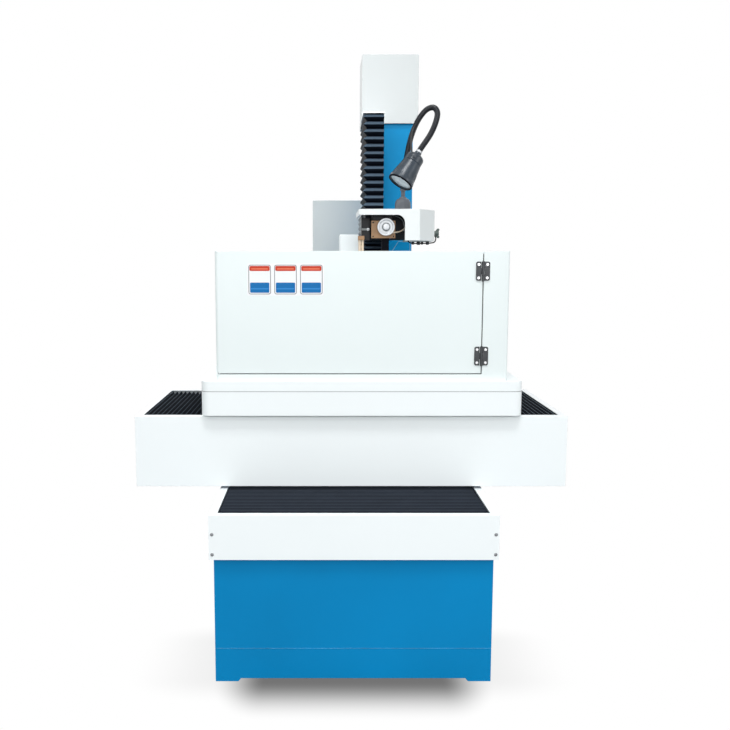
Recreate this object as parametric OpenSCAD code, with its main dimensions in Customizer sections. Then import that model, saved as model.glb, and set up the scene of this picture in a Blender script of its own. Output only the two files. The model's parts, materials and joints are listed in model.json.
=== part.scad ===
// Wire electrical discharge machine: bed, crossed slides, water tray with splash guard,
// column with a Z slide, a taper head, a work lamp and a wire drum. Millimetres, +Z up.
// X runs to the right, Y to the back. Y is measured from the bed's front face inside the
// modules, and the whole machine is then shifted so that its box is centred on the origin.

/* [Bed] */
// Width of the bed casting
bed_w = 830; // [700:10:1000]
// Depth of the bed casting
bed_d = 1600; // [1560:10:1800]
// Height of the bed's top face above the floor
bed_h = 387; // [300:1:450]
// Thickness of the bed's outer walls
bed_wall = 22; // [16:1:30]
// Height of the corner feet below the casting
foot_h = 10; // [6:1:20]
// Width of each corner foot
foot_w = 75; // [60:1:100]
// Height of the groove around the skirt
skirt_z = 103; // [80:1:150]
// Radius of the anchor holes in the feet
anchor_r = 8.5; // [6:0.5:12]

/* [Y way covers] */
// Height of the covers beside the Y ways
y_cover_h = 135; // [120:1:160]
// Overhang of the Y covers past the bed on each side
y_cover_over = 12; // [5:1:20]
// Distance that the front cover stands ahead of the bed
y_front_out = 19; // [10:1:30]
// Width of the rim along the top of the Y covers
y_rim = 24; // [18:1:32]
// Length of the Y covers, from the front cover to their rear end
y_cover_len = 1030; // [1000:5:1036]
// Head radius of the dome screws on the front cover
dome_r = 5.2; // [4:0.2:7]

/* [Ways] */
// Distance from the centre line to each Y rail
y_rail_x = 260; // [220:5:320]
// Distance from the saddle's middle to each X rail
x_rail_y = 150; // [120:5:180]
// Width of a linear rail
rail_w = 34; // [28:1:40]
// Height of a linear rail
rail_h = 28; // [22:1:32]
// Height of the way bars under the Y rails
way_h = 58; // [50:1:60]
// Running clearance between a rail and its carriage
rail_gap = 0.3; // [0.2:0.1:0.5]

/* [Saddle] */
// Width of the saddle's cover box
saddle_w = 1400; // [1360:10:1500]
// Depth of the saddle's cover box
saddle_d = 588; // [560:1:600]
// Distance of the cover box behind the bed's front face
saddle_y = 275; // [250:1:290]
// Gap between the Y covers and the cover box
saddle_gap = 8; // [4:1:12]
// Height of the saddle's cover box
saddle_h = 231; // [215:1:240]
// Width of the rim along the front and back of the cover box
x_rim = 30; // [24:1:36]
// Width of the rim along both ends of the cover box
x_end_rim = 22; // [16:1:36]
// Thickness of the sheet metal
sheet = 3; // [2:0.5:4]

/* [Bellows] */
// Pitch of the pleats over the flat ways
way_pitch = 15.8; // [12:0.2:22]
// Depth of the pleats over the flat ways
way_pleat = 20; // [12:1:22]
// Thickness of the bellows cloth
cloth = 2.4; // [1.5:0.1:3]
// Pitch of the pleats on the Z way above the head
z_pitch_top = 26; // [18:1:32]
// Pitch of the pleats on the Z way below the head
z_pitch_low = 18.5; // [14:0.5:26]
// Depth of the pleats on the Z way
z_pleat = 14; // [8:1:16]

/* [Table and tray] */
// Width of the water tray
tray_w = 1030; // [1000:5:1060]
// Depth of the water tray
tray_d = 640; // [620:5:650]
// Distance of the tray's middle to the right of the machine's middle
tray_x = 33; // [20:1:45]
// Distance of the tray's front behind the bed's front face
tray_y = 250; // [240:1:262]
// Height of the tray below its lip
tray_h = 79; // [60:1:95]
// Height of the tray's lip
lip_h = 33; // [24:1:45]
// Radius of the tray's upright corners
tray_r = 28; // [20:1:50]
// Gap between the saddle's cover box and the tray
tray_gap = 6; // [3:1:10]
// Width of the table casting under the tray
table_w = 570; // [520:10:600]
// Thickness of the worktable frame
frame_t = 25; // [18:1:30]
// Height of the worktable's top above the floor
frame_top = 1010; // [1006:1:1020]
// Width of the worktable frame
frame_w = 680; // [660:5:700]
// Width of the worktable's side rails
frame_rail = 105; // [90:1:110]
// Radius of a worktable post
post_r = 28; // [20:1:32]
// Radius of the tapped clamp holes in the worktable
clamp_r = 3.4; // [2.5:0.1:5]

/* [Splash guard] */
// Width of the splash guard
guard_w = 931; // [900:1:950]
// Distance of the guard's front behind the tray's front
guard_in = 13; // [8:1:20]
// Height of the guard above the tray's lip
guard_h = 412; // [380:1:430]
// Radius of the guard's upright corners
guard_r = 10; // [6:1:24]
// Height of the sill under the door
sill_h = 21; // [12:1:30]
// Width of the fixed strip to the right of the door
strip_w = 86; // [70:1:120]
// Gap around the door
door_gap = 3; // [2:0.5:4]
// Length that the door wraps around the left side
door_wrap = 70; // [50:5:120]

/* [Door hinges] */
// Height of each hinge
hinge_h = 60; // [50:2:70]
// Width of an open hinge
hinge_w = 44; // [40:1:56]
// Radius of the hinge pins
pin_r = 2; // [1.5:0.1:2.5]
// Radius of the hinge knuckles
knuckle_r = 4.5; // [4:0.1:6]
// Clearance of a pin in its knuckle
pin_fit = 0.05; // [0.03:0.01:0.09]
// Height of the lower hinge's middle above the tray's lip
hinge_low = 80; // [60:1:110]
// Height of the upper hinge's middle above the tray's lip
hinge_high = 349; // [250:1:360]

/* [Column] */
// Left side of the column
col_x = 79; // [70:1:90]
// Width of the column
col_w = 188; // [180:2:220]
// Front face of the column behind the bed's front face
col_y = 1060; // [1055:1:1065]
// Depth of the column at its foot
col_d = 380; // [340:5:400]
// Height of the column's front wall above the floor
col_top = 1900; // [1860:5:1940]
// Height of the white top cover
cap_h = 266; // [200:1:300]
// Height above the floor of the top cover's lower edge
cap_z = 1802; // [1790:1:1830]
// Distance that the top cover stands out past the column
cap_out = 17; // [10:1:20]
// Depth of the top cover
cap_d = 220; // [200:1:240]

/* [Z slide and head] */
// Left side of the Z bellows
zb_x = 56; // [50:1:60]
// Width of the Z bellows
zb_w = 77; // [74:1:84]
// Front of the Z bellows behind the bed's front face
zb_y = 781; // [775:1:790]
// Height of the head's underside above the floor
head_z = 1329; // [1310:1:1340]
// Height of the head cover
head_h = 107; // [100:1:115]
// Front of the head cover behind the bed's front face
head_y = 516; // [510:1:524]
// Left side of the head cover
head_x = 31; // [24:1:34]
// Width of the head cover
head_w = 271; // [260:1:280]
// Height of the lip above the head's opening
head_lip = 20; // [12:1:26]
// Right edge of the head's opening, from its left side
head_open = 158; // [145:1:170]
// Position of the wire, to the right of the machine's middle
wire_x = 126; // [122:1:130]
// Position of the wire behind the bed's front face
wire_y = 575; // [570:1:580]
// Height of the upper nozzle's mouth above the floor
nozzle_z = 1130; // [1125:1:1160]
// Width of the lower arm
low_arm_w = 77; // [70:1:84]
// Height of the lower arm's underside above the floor
low_arm_z = 895; // [890:1:900]
// Depth of the lower arm's section
low_arm_h = 80; // [70:1:84]
// Travel of the taper slides to each side
taper_travel = 15; // [8:1:18]

/* [Lamp] */
// Radius of the lamp's foot
lamp_foot_r = 29; // [26:1:36]
// Height of the lamp's foot with its stem
lamp_foot_h = 85; // [70:1:95]
// Radius of the flexible arm
goose_r = 10; // [7:0.5:12]
// Radius of the lamp head's rim
lamp_rim_r = 45; // [36:1:48]
// Length of the lamp head
lamp_len = 120; // [95:1:125]

/* [Wire drum] */
// Radius of the wire drum
drum_r = 80; // [60:1:85]
// Length of the wire drum
drum_len = 180; // [140:5:190]
// Height of the drum's axis above the floor
drum_z = 930; // [900:5:960]
// Radius of the drum's shaft
shaft_r = 12; // [9:1:15]
// Running clearance of a shaft in its bearing
shaft_fit = 0.06; // [0.03:0.01:0.09]
// Height of the splash shield's top above the floor
shield_top = 1522; // [1400:2:1600]

/* [Hidden] */
$fn = 48;

// Placing: the machine's box runs from the front screws to the rear of the bed.
machine_d = bed_d + y_front_out + dome_r / 2;
shift_y = machine_d / 2 - bed_d;

// Heights that follow from one another.
y_cover_top = bed_h + y_cover_h;
saddle_z = y_cover_top + saddle_gap;
saddle_top = saddle_z + saddle_h;
tray_z = saddle_top + tray_gap;
lip_z = tray_z + tray_h;
deck_z = lip_z + lip_h;
guard_top = deck_z + guard_h;

// Y ways: way bar, rail and carriage stack up to the saddle.
way_top = bed_h + way_h;
y_rail_y = 12;
y_rail_len = y_cover_len - y_rail_y - 8;
y_cover_w = bed_w + 2 * y_cover_over;
carriage_len = 110;
carriage_w = rail_w + 36;
carriage_lift = 8;

// Saddle and X ways.
saddle_mid_y = saddle_y + saddle_d / 2;
saddle_cast_d = 420;
saddle_cast_h = 105;
x_rail_z = saddle_z + saddle_cast_h;
x_rail_top = x_rail_z + rail_h;
saddle_cast_w = saddle_w - 2 * sheet;
table_z = x_rail_top + 10;
y_carriage_span = 135;
x_carriage_span = 190;

// Bellows over the flat ways.
y_bellows_top = y_cover_top - 4;
x_bellows_top = saddle_top - 4;
bellows_seat = 0.3;
y_bellows_w = y_cover_w - 2 * y_rim - 2 * bellows_seat;
x_bellows_d = saddle_d - 2 * x_rim - 2 * bellows_seat;
y_front_bellows_y = y_rim - y_front_out + bellows_seat;
y_front_bellows_end = saddle_mid_y - saddle_cast_d / 2 + 15;
y_rear_bellows_y = saddle_mid_y + saddle_cast_d / 2 + 1;
y_rear_bellows_end = y_cover_len - 6;
x_bellows_in = saddle_w / 2 - sheet - bellows_seat;
table_left = tray_x - table_w / 2;
table_right = tray_x + table_w / 2;
table_d = 480;

// Tray, guard and worktable.
tray_left = tray_x - tray_w / 2;
tray_floor = 6;
guard_left = tray_x - guard_w / 2;
guard_right = tray_x + guard_w / 2;
guard_y = tray_y + guard_in;
guard_back = tray_y + tray_d - 10;
deck_rim = 30;
frame_x = tray_x + 57 - frame_w / 2;
frame_y = tray_y + 60;
frame_z = frame_top - frame_t;
post_inset_y = 70;
clamp_inset_y = 70;
post_front = frame_y + post_inset_y;
post_back = guard_back - post_inset_y;
clamp_front = post_front + clamp_inset_y;
clamp_back = post_back - clamp_inset_y;

// Door and hinges.
seam_x = guard_right - strip_w;
door_z = deck_z + sill_h + door_gap;
leaf_t = 2.5;
hinge_y = guard_y - knuckle_r - 0.2;
hinge_mid_low = deck_z + hinge_low;
hinge_mid_high = deck_z + hinge_high;
knuckle_gap = 0.2;
knuckle_z = hinge_h / 3;
screw_r = 4.2;
leaf_hole = 9;
leaf_r = 6;

// Column, Z way and arms.
col_foot_over = 14;
col_foot_h = 36;
cap_x = col_x - cap_out;
cap_w = col_w + 2 * cap_out + 2;
cap_y = col_y - 13;
low_arm_top = low_arm_z + low_arm_h;
low_arm_x = wire_x + 3 - low_arm_w;
low_arm_front = wire_y - 30;
zb_valley = zb_x + z_pleat + cloth;
beam_x = zb_valley + 3;
beam_w = zb_w - 2 * (beam_x - zb_x);
beam_y = zb_y + z_pleat + cloth + 43;
z_rail_w = 9;
z_rail_t = 14;
z_rail_y = beam_y - z_rail_t;
z_rail_in = 12;
zb_back = col_y - bellows_seat;
head_top = head_z + head_h;
zb_low_z = low_arm_top + bellows_seat;
arm_top = head_top - sheet;
arm_z = arm_top - 98;
zb_low_end = arm_z - bellows_seat;
zb_top_z = arm_top + 18;
arm_front = wire_y + 97;
arm_x = zb_x + 4;

// Taper head, hung under the tongue of the upper arm.
tongue_t = 33;
tongue_x = wire_x - 46;
tongue_w = 70;
arm_nose = 20;
arm_w = 146;
slide_gap = 0.3;
v_top = arm_top - tongue_t - slide_gap;
v_h = 25;
v_y = wire_y + 10;
tongue_y = v_y - taper_travel;
v_d = 60;
u_top = v_top - v_h - slide_gap;
u_h = 36;
u_x = wire_x - 30;
u_w = 54;
plate_t = 10;
plate_y = wire_y - 20;
plate_h = 60;
plate_z = head_z + 9;
wheel_r = 30;
wheel_t = 8;
wheel_z = plate_z + 38;
wheel_pin_r = 5;
wheel_y = plate_y - 9 - wheel_t;
v_motor_w = 30;
v_motor_x = tongue_x - v_motor_w - 7;
low_wheel_r = 26;
low_wheel_t = 8;
low_wheel_z = low_arm_z + low_arm_h / 2;
low_pin_r = 4;
tube_x = head_x + 5;
tube_pitch = 10;
tube_r = 4.5;
knob_y = zb_y - 141;
knob_z = head_z + 28;
knob_r = 4;
guide_cover_y = 920;
guide_cover_w = 73;
guide_cover_d = 190;
guide_cover_h = 180;
guide_cover_rise = 32;

// Lamp.
lamp_x = 200;
lamp_y = 730;
lamp_foot_z = head_top;
lamp_dir = [-0.51, -0.24, -0.82];
lamp_cap = [237, 598, head_top + 192];
lamp_cap_r = 32;
lamp_cap_len = 38;

// Wire drum behind the column's left side.
drum_x = -90;
stand_x = -400;
stand_w = 460;
stand_d = 203;
stand_y = bed_d - stand_d - 12;
drum_rise = 150;
stand_top = drum_z - drum_rise;
shield_x = -139;
shield_fold = 18;
shield_y = stand_y - shield_fold - 4;
drum_in = 95;
drum_y = stand_y + drum_in;
bearing_r = 34;
motor_r = 52;
motor_len = 90;
slide_t = 16;
bracket_t = 20;
drum_rail_h = 12;

module at_machine() { translate([0, shift_y, 0]) children(); }

// A box given by its lowest corner and its size.
module block(x, y, z, w, d, h) { translate([x, y, z]) cube([w, d, h]); }

// A rectangle with round corners, drawn from its lowest corner.
module round_rect(w, d, r) {
  translate([r, 0]) square([w - 2 * r, d]);
  translate([0, r]) square([w, d - 2 * r]);
  for (x = [r, w - r], y = [r, d - r]) translate([x, y]) circle(r);
}

// A rectangle whose two front corners are round.
module round_front(w, d, r) {
  translate([r, 0]) square([w - 2 * r, d]);
  translate([0, r]) square([w, d - r]);
  for (x = [r, w - r]) translate([x, r]) circle(r);
}

// Outline of a pleated cloth seen from the side: a zigzag of even thickness.
function zigzag(length, pitch, depth, t) =
  let (n = 2 * round(length / pitch))
  concat([for (i = [0:n]) [i * length / n, i % 2 == 0 ? -depth : 0]],
         [for (i = [n:-1:0]) [i * length / n, (i % 2 == 0 ? -depth : 0) - t]]);

// Flat pleated cover along Y, its ridges running across the machine.
module pleats_along_y(y0, y1, top, width) {
  translate([-width / 2, 0, top]) rotate([90, 0, 90]) linear_extrude(width)
    translate([y0, 0]) polygon(zigzag(y1 - y0, way_pitch, way_pleat, cloth));
}

// Flat pleated cover along X, its ridges running to the back.
module pleats_along_x(x0, x1, top, depth) {
  translate([0, saddle_mid_y + depth / 2, top]) rotate([90, 0, 0]) linear_extrude(depth)
    translate([x0, 0]) polygon(zigzag(x1 - x0, way_pitch, way_pleat, cloth));
}

// One ring of the three-sided Z bellows, open at the back, set in by the pleat.
function z_ring(inset, z) =
  let (x0 = zb_x + inset, x1 = zb_x + zb_w, y0 = zb_y + inset, yb = zb_back)
  [[x0, yb, z], [x0, y0, z], [x1, y0, z], [x1, yb, z], [x1 - cloth, yb, z],
   [x1 - cloth, y0 + cloth, z], [x0 + cloth, y0 + cloth, z], [x0 + cloth, yb, z]];

// Bellows round three sides, mitred at the left corner and cut straight at the right.
module z_pleats(z0, z1, pitch) {
  n = 2 * round((z1 - z0) / pitch);
  sides = 8;
  points = [for (i = [0:n]) each z_ring(i % 2 == 0 ? z_pleat : 0, z0 + i * (z1 - z0) / n)];
  walls = [for (i = [0:n - 1], k = [0:sides - 1])
    let (a = i * sides + k, b = i * sides + (k + 1) % sides) [a, a + sides, b + sides, b]];
  // The two end rings are bent, so each is closed by three flat pieces.
  function cap(s) = [[s, s + 1, s + 6, s + 7], [s + 1, s + 2, s + 5, s + 6],
                     [s + 2, s + 3, s + 4, s + 5]];
  function flip(f) = [for (i = [len(f) - 1:-1:0]) f[i]];
  ends = concat(cap(0), [for (f = cap(n * sides)) flip(f)]);
  polyhedron(points, concat(walls, ends));
}

// ---- Bed and Y ways ----

// Hollow casting with ribs below, corner feet and a groove round the skirt.
module bed_casting() {
  pocket_x = 4;
  pocket_y = 8;
  boss_h = 6 * foot_h;
  groove = 1.5;
  pw = (bed_w - (pocket_x + 1) * bed_wall) / pocket_x;
  pd = (bed_d - (pocket_y + 1) * bed_wall) / pocket_y;
  chamfer = 0.7 * foot_h;
  color("#1282c3") difference() {
    union() {
      difference() {
        block(-bed_w / 2, 0, foot_h, bed_w, bed_d, bed_h - foot_h);
        for (i = [0:pocket_x - 1], j = [0:pocket_y - 1])
          block(-bed_w / 2 + bed_wall + i * (pw + bed_wall), bed_wall + j * (pd + bed_wall),
                foot_h - 1, pw, pd, bed_h - foot_h - bed_wall);
      }
      for (s = [-1, 1], y = [0, bed_d - foot_w]) translate([s * bed_w / 2, y, 0])
        rotate([90, 0, 0]) mirror([s > 0 ? 1 : 0, 0, 0]) translate([0, 0, -foot_w])
          linear_extrude(foot_w)
            polygon([[0, 0], [foot_w - chamfer, 0], [foot_w, chamfer], [foot_w, boss_h],
                     [0, boss_h]]);
    }
    for (s = [-1, 1], y = [foot_w / 2, bed_d - foot_w / 2])
      translate([s * (bed_w - foot_w) / 2, y, -1]) cylinder(r = anchor_r, h = 0.8 * boss_h);
    difference() {
      block(-bed_w / 2 - 1, -1, skirt_z, bed_w + 2, bed_d + 2, groove);
      block(-bed_w / 2 + groove, groove, skirt_z - 1, bed_w - 2 * groove, bed_d - 2 * groove,
            groove + 2);
    }
  }
}

// Folded front cover of the Y way, with a rim along its top.
module y_front_cover() {
  color("#f0f6f7") difference() {
    block(-y_cover_w / 2, -y_front_out, bed_h, y_cover_w, y_rim, y_cover_h);
    block(-y_cover_w / 2 - 1, sheet - y_front_out, bed_h - 1, y_cover_w + 2, y_rim,
          y_cover_h - sheet + 1);
    for (s = [-1, 1], z = [0.12, 0.57])
      translate([s * (y_cover_w / 2 - 10), 1 - y_front_out + sheet, bed_h + z * y_cover_h])
        rotate([90, 0, 0]) cylinder(r = dome_r / 2 + 0.1, h = sheet + 2);
  }
}

// Folded channel beside the Y way, open inwards; s is -1 on the left and 1 on the right.
module y_side_cover(s) {
  y0 = sheet - y_front_out;
  len = y_cover_len - y0;
  color("#f0f6f7") mirror([s > 0 ? 1 : 0, 0, 0]) difference() {
    union() {
      block(-y_cover_w / 2, y_rim - y_front_out, bed_h, y_rim, len - y_rim + sheet, y_cover_h);
      block(-y_cover_w / 2, y0, bed_h, 20, y_rim, y_cover_h - sheet);
    }
    block(sheet - y_cover_w / 2, y0 + sheet, bed_h + sheet, y_rim, len + 1,
          y_cover_h - 2 * sheet);
    for (z = [0.12, 0.57])
      translate([10 - y_cover_w / 2, y0 + sheet + 1, bed_h + z * y_cover_h])
        rotate([90, 0, 0]) cylinder(r = dome_r / 2 + 0.1, h = sheet + 2);
  }
}

module y_cover_left() { y_side_cover(-1); }
module y_cover_right() { y_side_cover(1); }

// A dome screw whose head points to the front.
module dome_screw(r, length) {
  rotate([90, 0, 0]) rotate_extrude() polygon(concat([[0, -length], [r / 2, -length]],
    [[r / 2, 0]], [for (a = [0:15:75]) [r * cos(a), 0.5 * r * sin(a)]], [[0, 0.5 * r]]));
}

module cover_screws() {
  color("#d9dcdd") for (s = [-1, 1], z = [0.12, 0.57])
    translate([s * (y_cover_w / 2 - 10), -y_front_out, bed_h + z * y_cover_h])
      dome_screw(dome_r, 2 * sheet + 3);
}

// Rail along Y or X: a waisted section, so that the carriage hooks around it.
module rail(length) {
  waist = 3;
  translate([0, length, 0]) rotate([90, 0, 0]) linear_extrude(length)
    polygon([[-rail_w / 2, 0], [rail_w / 2, 0], [rail_w / 2, rail_h * 0.35],
             [rail_w / 2 - waist, rail_h * 0.5], [rail_w / 2, rail_h * 0.75],
             [rail_w / 2, rail_h], [-rail_w / 2, rail_h], [-rail_w / 2, rail_h * 0.75],
             [waist - rail_w / 2, rail_h * 0.5], [-rail_w / 2, rail_h * 0.35]]);
}

// Carriage that straddles a rail; its top face meets what it carries.
module carriage(height) {
  translate([0, carriage_len / 2, 0]) rotate([90, 0, 0]) linear_extrude(carriage_len)
    difference() {
      translate([-carriage_w / 2, carriage_lift]) square([carriage_w, height - carriage_lift]);
      translate([-rail_w / 2 - rail_gap, 0]) square([rail_w + 2 * rail_gap, rail_h + rail_gap]);
    }
}

// Each Y rail lies on a way bar that is bolted to the bed's top.
module y_rails() {
  shoulder = 10;
  color("#b9bec2") for (s = [-1, 1]) translate([s * y_rail_x, 0, 0]) {
    translate([0, y_rail_y, way_top]) rail(y_rail_len);
    block(-rail_w / 2 - shoulder, y_rail_y - 5, bed_h, rail_w + 2 * shoulder, y_rail_len + 10,
          way_h);
  }
}

module y_bellows_front() {
  color("#191c26")
    pleats_along_y(y_front_bellows_y, y_front_bellows_end, y_bellows_top, y_bellows_w);
}

module y_bellows_rear() {
  color("#191c26")
    pleats_along_y(y_rear_bellows_y, y_rear_bellows_end, y_bellows_top, y_bellows_w);
}

// ---- Saddle and X ways ----

// Wide casting that carries the X rails; its ends rise from the middle like wings.
module saddle_casting() {
  half = saddle_cast_w / 2;
  wing = 45;
  rib_t = 4.4;
  rib_z = y_bellows_top - way_pleat - cloth;
  color("#1282c3") {
    translate([0, saddle_mid_y + saddle_cast_d / 2, saddle_z]) rotate([90, 0, 0])
      linear_extrude(saddle_cast_d)
        polygon([[-half, wing], [-half * 0.62, wing], [-half * 0.52, 0], [half * 0.52, 0],
                 [half * 0.62, wing], [half, wing], [half, saddle_cast_h],
                 [-half, saddle_cast_h]]);
    block(-y_bellows_w / 2 + 1, y_front_bellows_end + bellows_seat, rib_z, y_bellows_w - 2,
          rib_t, saddle_z - rib_z);
    block(-y_bellows_w / 2 + 1, y_rear_bellows_y - bellows_seat - rib_t, rib_z,
          y_bellows_w - 2, rib_t, saddle_z - rib_z);
  }
}

// Folded wall with a rim along its top, drawn along X from its outer face backwards.
module rimmed_wall(length, rim) {
  cube([length, sheet, saddle_h]);
  translate([0, 0, saddle_h - sheet]) cube([length, rim, sheet]);
}

module saddle_front_cover() {
  color("#f0f6f7") translate([-saddle_w / 2, saddle_y, saddle_z]) rimmed_wall(saddle_w, x_rim);
}

module saddle_rear_cover() {
  color("#f0f6f7") translate([saddle_w / 2, saddle_y + saddle_d, saddle_z])
    rotate([0, 0, 180]) rimmed_wall(saddle_w, x_rim);
}

module saddle_left_cover() {
  color("#f0f6f7") {
    block(-saddle_w / 2, saddle_y + sheet, saddle_z, sheet, saddle_d - 2 * sheet,
          saddle_h - sheet);
    block(-saddle_w / 2, saddle_y + x_rim, saddle_top - sheet, x_end_rim,
          saddle_d - 2 * x_rim, sheet);
  }
}

module saddle_right_cover() { mirror([1, 0, 0]) saddle_left_cover(); }

module y_carriages() {
  color("#8f969c") for (s = [-1, 1], e = [-1, 1])
    translate([s * y_rail_x, saddle_mid_y + e * y_carriage_span, way_top])
      carriage(saddle_z - way_top);
}

module x_rails() {
  color("#b9bec2") for (s = [-1, 1])
    translate([saddle_cast_w / 2 - 20, saddle_mid_y + s * x_rail_y, x_rail_z])
      rotate([0, 0, 90]) rail(saddle_cast_w - 40);
}

module x_bellows_left() {
  color("#191c26")
    pleats_along_x(-x_bellows_in, table_left - bellows_seat, x_bellows_top, x_bellows_d);
}

module x_bellows_right() {
  color("#191c26")
    pleats_along_x(table_right + bellows_seat, x_bellows_in, x_bellows_top, x_bellows_d);
}

// ---- Table, tray and splash guard ----

module table_casting() {
  color("#1282c3")
    block(table_left, saddle_mid_y - table_d / 2, table_z, table_w, table_d, tray_z - table_z);
}

module x_carriages() {
  color("#8f969c") for (s = [-1, 1], e = [-1, 1])
    translate([tray_x + e * x_carriage_span, saddle_mid_y + s * x_rail_y, x_rail_z])
      rotate([0, 0, 90]) carriage(table_z - x_rail_z);
}

// Open tray with round upright corners.
module water_tray() {
  color("#f0f6f7") translate([tray_left, tray_y, tray_z]) difference() {
    linear_extrude(tray_h) round_rect(tray_w, tray_d, tray_r);
    translate([sheet, sheet, tray_floor]) linear_extrude(tray_h)
      round_rect(tray_w - 2 * sheet, tray_d - 2 * sheet, tray_r - sheet);
  }
}

// Upper tray ring: a wall and a deck that the splash guard stands on.
module tray_lip() {
  inner_w = guard_w - 2 * deck_rim;
  inner_d = guard_back - guard_y - deck_rim;
  color("#f0f6f7") difference() {
    translate([tray_left, tray_y, lip_z]) linear_extrude(lip_h)
      round_rect(tray_w, tray_d, tray_r);
    translate([tray_left + sheet, tray_y + sheet, lip_z - 1]) linear_extrude(lip_h - sheet + 1)
      round_rect(tray_w - 2 * sheet, tray_d - 2 * sheet, tray_r - sheet);
    block(guard_left + deck_rim, guard_y + deck_rim, deck_z - sheet - 1, inner_w,
          inner_d - deck_rim, sheet + 2);
  }
}

// Plan of the splash guard: a wall on three sides, open at the back.
module guard_plan() {
  depth = guard_back - guard_y;
  difference() {
    round_front(guard_w, depth, guard_r);
    translate([sheet, sheet]) round_front(guard_w - 2 * sheet, depth, guard_r - sheet);
  }
}

// Space that the door takes out of the guard; grow is the gap kept around it.
module door_space(grow, z0, z1) {
  block(guard_left - 5, guard_y - 5, z0, seam_x - guard_left + 5 + grow, 45, z1 - z0);
  block(guard_left - 5, guard_y - 5, z0, 45, 5 + door_wrap + grow, z1 - z0);
}

module splash_guard() {
  color("#f0f6f7") difference() {
    translate([guard_left, guard_y, deck_z]) linear_extrude(guard_h) guard_plan();
    door_space(door_gap, deck_z + sill_h, guard_top + 1);
  }
}

// Door that wraps around the front left corner.
module door_panel() {
  color("#f0f6f7") intersection() {
    translate([guard_left, guard_y, door_z]) linear_extrude(guard_top - door_z) guard_plan();
    door_space(0, door_z, guard_top);
  }
}

// U-shaped worktable with tapped clamp holes along its side rails.
module worktable_frame() {
  front_rail = 80;
  depth = guard_back - frame_y;
  color("#c3c8cb") translate([frame_x, frame_y, frame_z]) difference() {
    cube([frame_w, depth, frame_t]);
    translate([frame_rail, front_rail, -1])
      cube([frame_w - 2 * frame_rail, depth, frame_t + 2]);
    for (x = [frame_rail / 2, frame_w - frame_rail / 2], y = [clamp_front, clamp_back])
      translate([x, y - frame_y, -1]) cylinder(r = clamp_r, h = frame_t + 2);
  }
}

module worktable_posts() {
  foot_z = tray_z + tray_floor;
  color("#8f969c") for (x = [frame_rail / 2, frame_w - frame_rail / 2])
    for (y = [post_front, post_back]) translate([frame_x + x, y, foot_z]) {
      cylinder(r = post_r, h = frame_z - foot_z);
      cylinder(r = post_r + 12, h = 12);
    }
}

// Leaf of a hinge with its screw holes, lying on the panel from the pin outwards.
module hinge_leaf() {
  width = hinge_w / 2;
  rotate([90, 0, 0]) translate([0, -hinge_h / 2, -leaf_t]) linear_extrude(leaf_t)
    difference() {
      union() {
        square([width - leaf_r, hinge_h]);
        translate([0, leaf_r]) square([width, hinge_h - 2 * leaf_r]);
        for (y = [leaf_r, hinge_h - leaf_r]) translate([width - leaf_r, y]) circle(leaf_r);
      }
      for (y = [leaf_hole, hinge_h - leaf_hole]) translate([width * 0.62, y]) circle(screw_r - 0.9);
    }
}

// Knuckle of a hinge between two heights, with its web down to the leaf.
module knuckle(z0, z1, side) {
  difference() {
    union() {
      translate([0, 0, z0]) cylinder(r = knuckle_r, h = z1 - z0);
      block(side > 0 ? 0 : -6, knuckle_r - leaf_t, z0, 6, leaf_t, z1 - z0);
    }
    translate([0, 0, z0 - 1]) cylinder(r = pin_r + pin_fit, h = z1 - z0 + 2);
  }
}

// One side of a hinge about its own pin, at the origin.
module hinge_side(side) {
  mid = knuckle_z / 2;
  gap = knuckle_gap / 2;
  difference() {
    translate([0, knuckle_r - leaf_t, 0]) mirror([side > 0 ? 0 : 1, 0, 0]) hinge_leaf();
    translate([0, 0, -hinge_h]) cylinder(r = knuckle_r + gap, h = 2 * hinge_h);
    for (z = side > 0 ? [-mid - gap] : [-hinge_h, mid - gap])
      block(-knuckle_r - 1.4, -hinge_h / 2, z, 2 * knuckle_r + 2.8, hinge_h,
            side > 0 ? knuckle_z + 2 * gap : hinge_h - mid + 2 * gap);
  }
  if (side > 0) for (s = [-1, 1])
    knuckle(s > 0 ? mid + gap : -hinge_h / 2, s > 0 ? hinge_h / 2 : -mid - gap, side);
  else knuckle(-mid + gap, mid - gap, side);
}

module hinge_fixed_leaves() {
  color("#3a3d40") for (z = [hinge_mid_low, hinge_mid_high])
    translate([seam_x, hinge_y, z]) hinge_side(1);
}

module hinge_door_leaves() {
  color("#3a3d40") for (z = [hinge_mid_low, hinge_mid_high])
    translate([seam_x, hinge_y, z]) hinge_side(-1);
}

// Pin with a wide head at each end, which keeps it in its knuckles.
module hinge_pins() {
  color("#55595c") for (z = [hinge_mid_low, hinge_mid_high])
    translate([seam_x, hinge_y, z - hinge_h / 2]) {
      cylinder(r = pin_r, h = hinge_h);
      translate([0, 0, -1.5]) cylinder(r = pin_r + 1.2, h = 1.5);
      translate([0, 0, hinge_h]) cylinder(r = pin_r + 1.2, h = 1.5);
    }
}

// The two screws of one leaf on each hinge.
module leaf_screws(side) {
  color("#e6e8e8") for (z = [hinge_mid_low, hinge_mid_high], s = [-1, 1])
    translate([seam_x + side * hinge_w * 0.31, guard_y - leaf_t - 0.2,
               z + s * (hinge_h / 2 - leaf_hole)])
      rotate([90, 0, 0]) cylinder(r = screw_r, h = 1);
}

module guard_screws() { leaf_screws(1); }
module door_screws() { leaf_screws(-1); }

// ---- Column, Z way and lower arm ----

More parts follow.
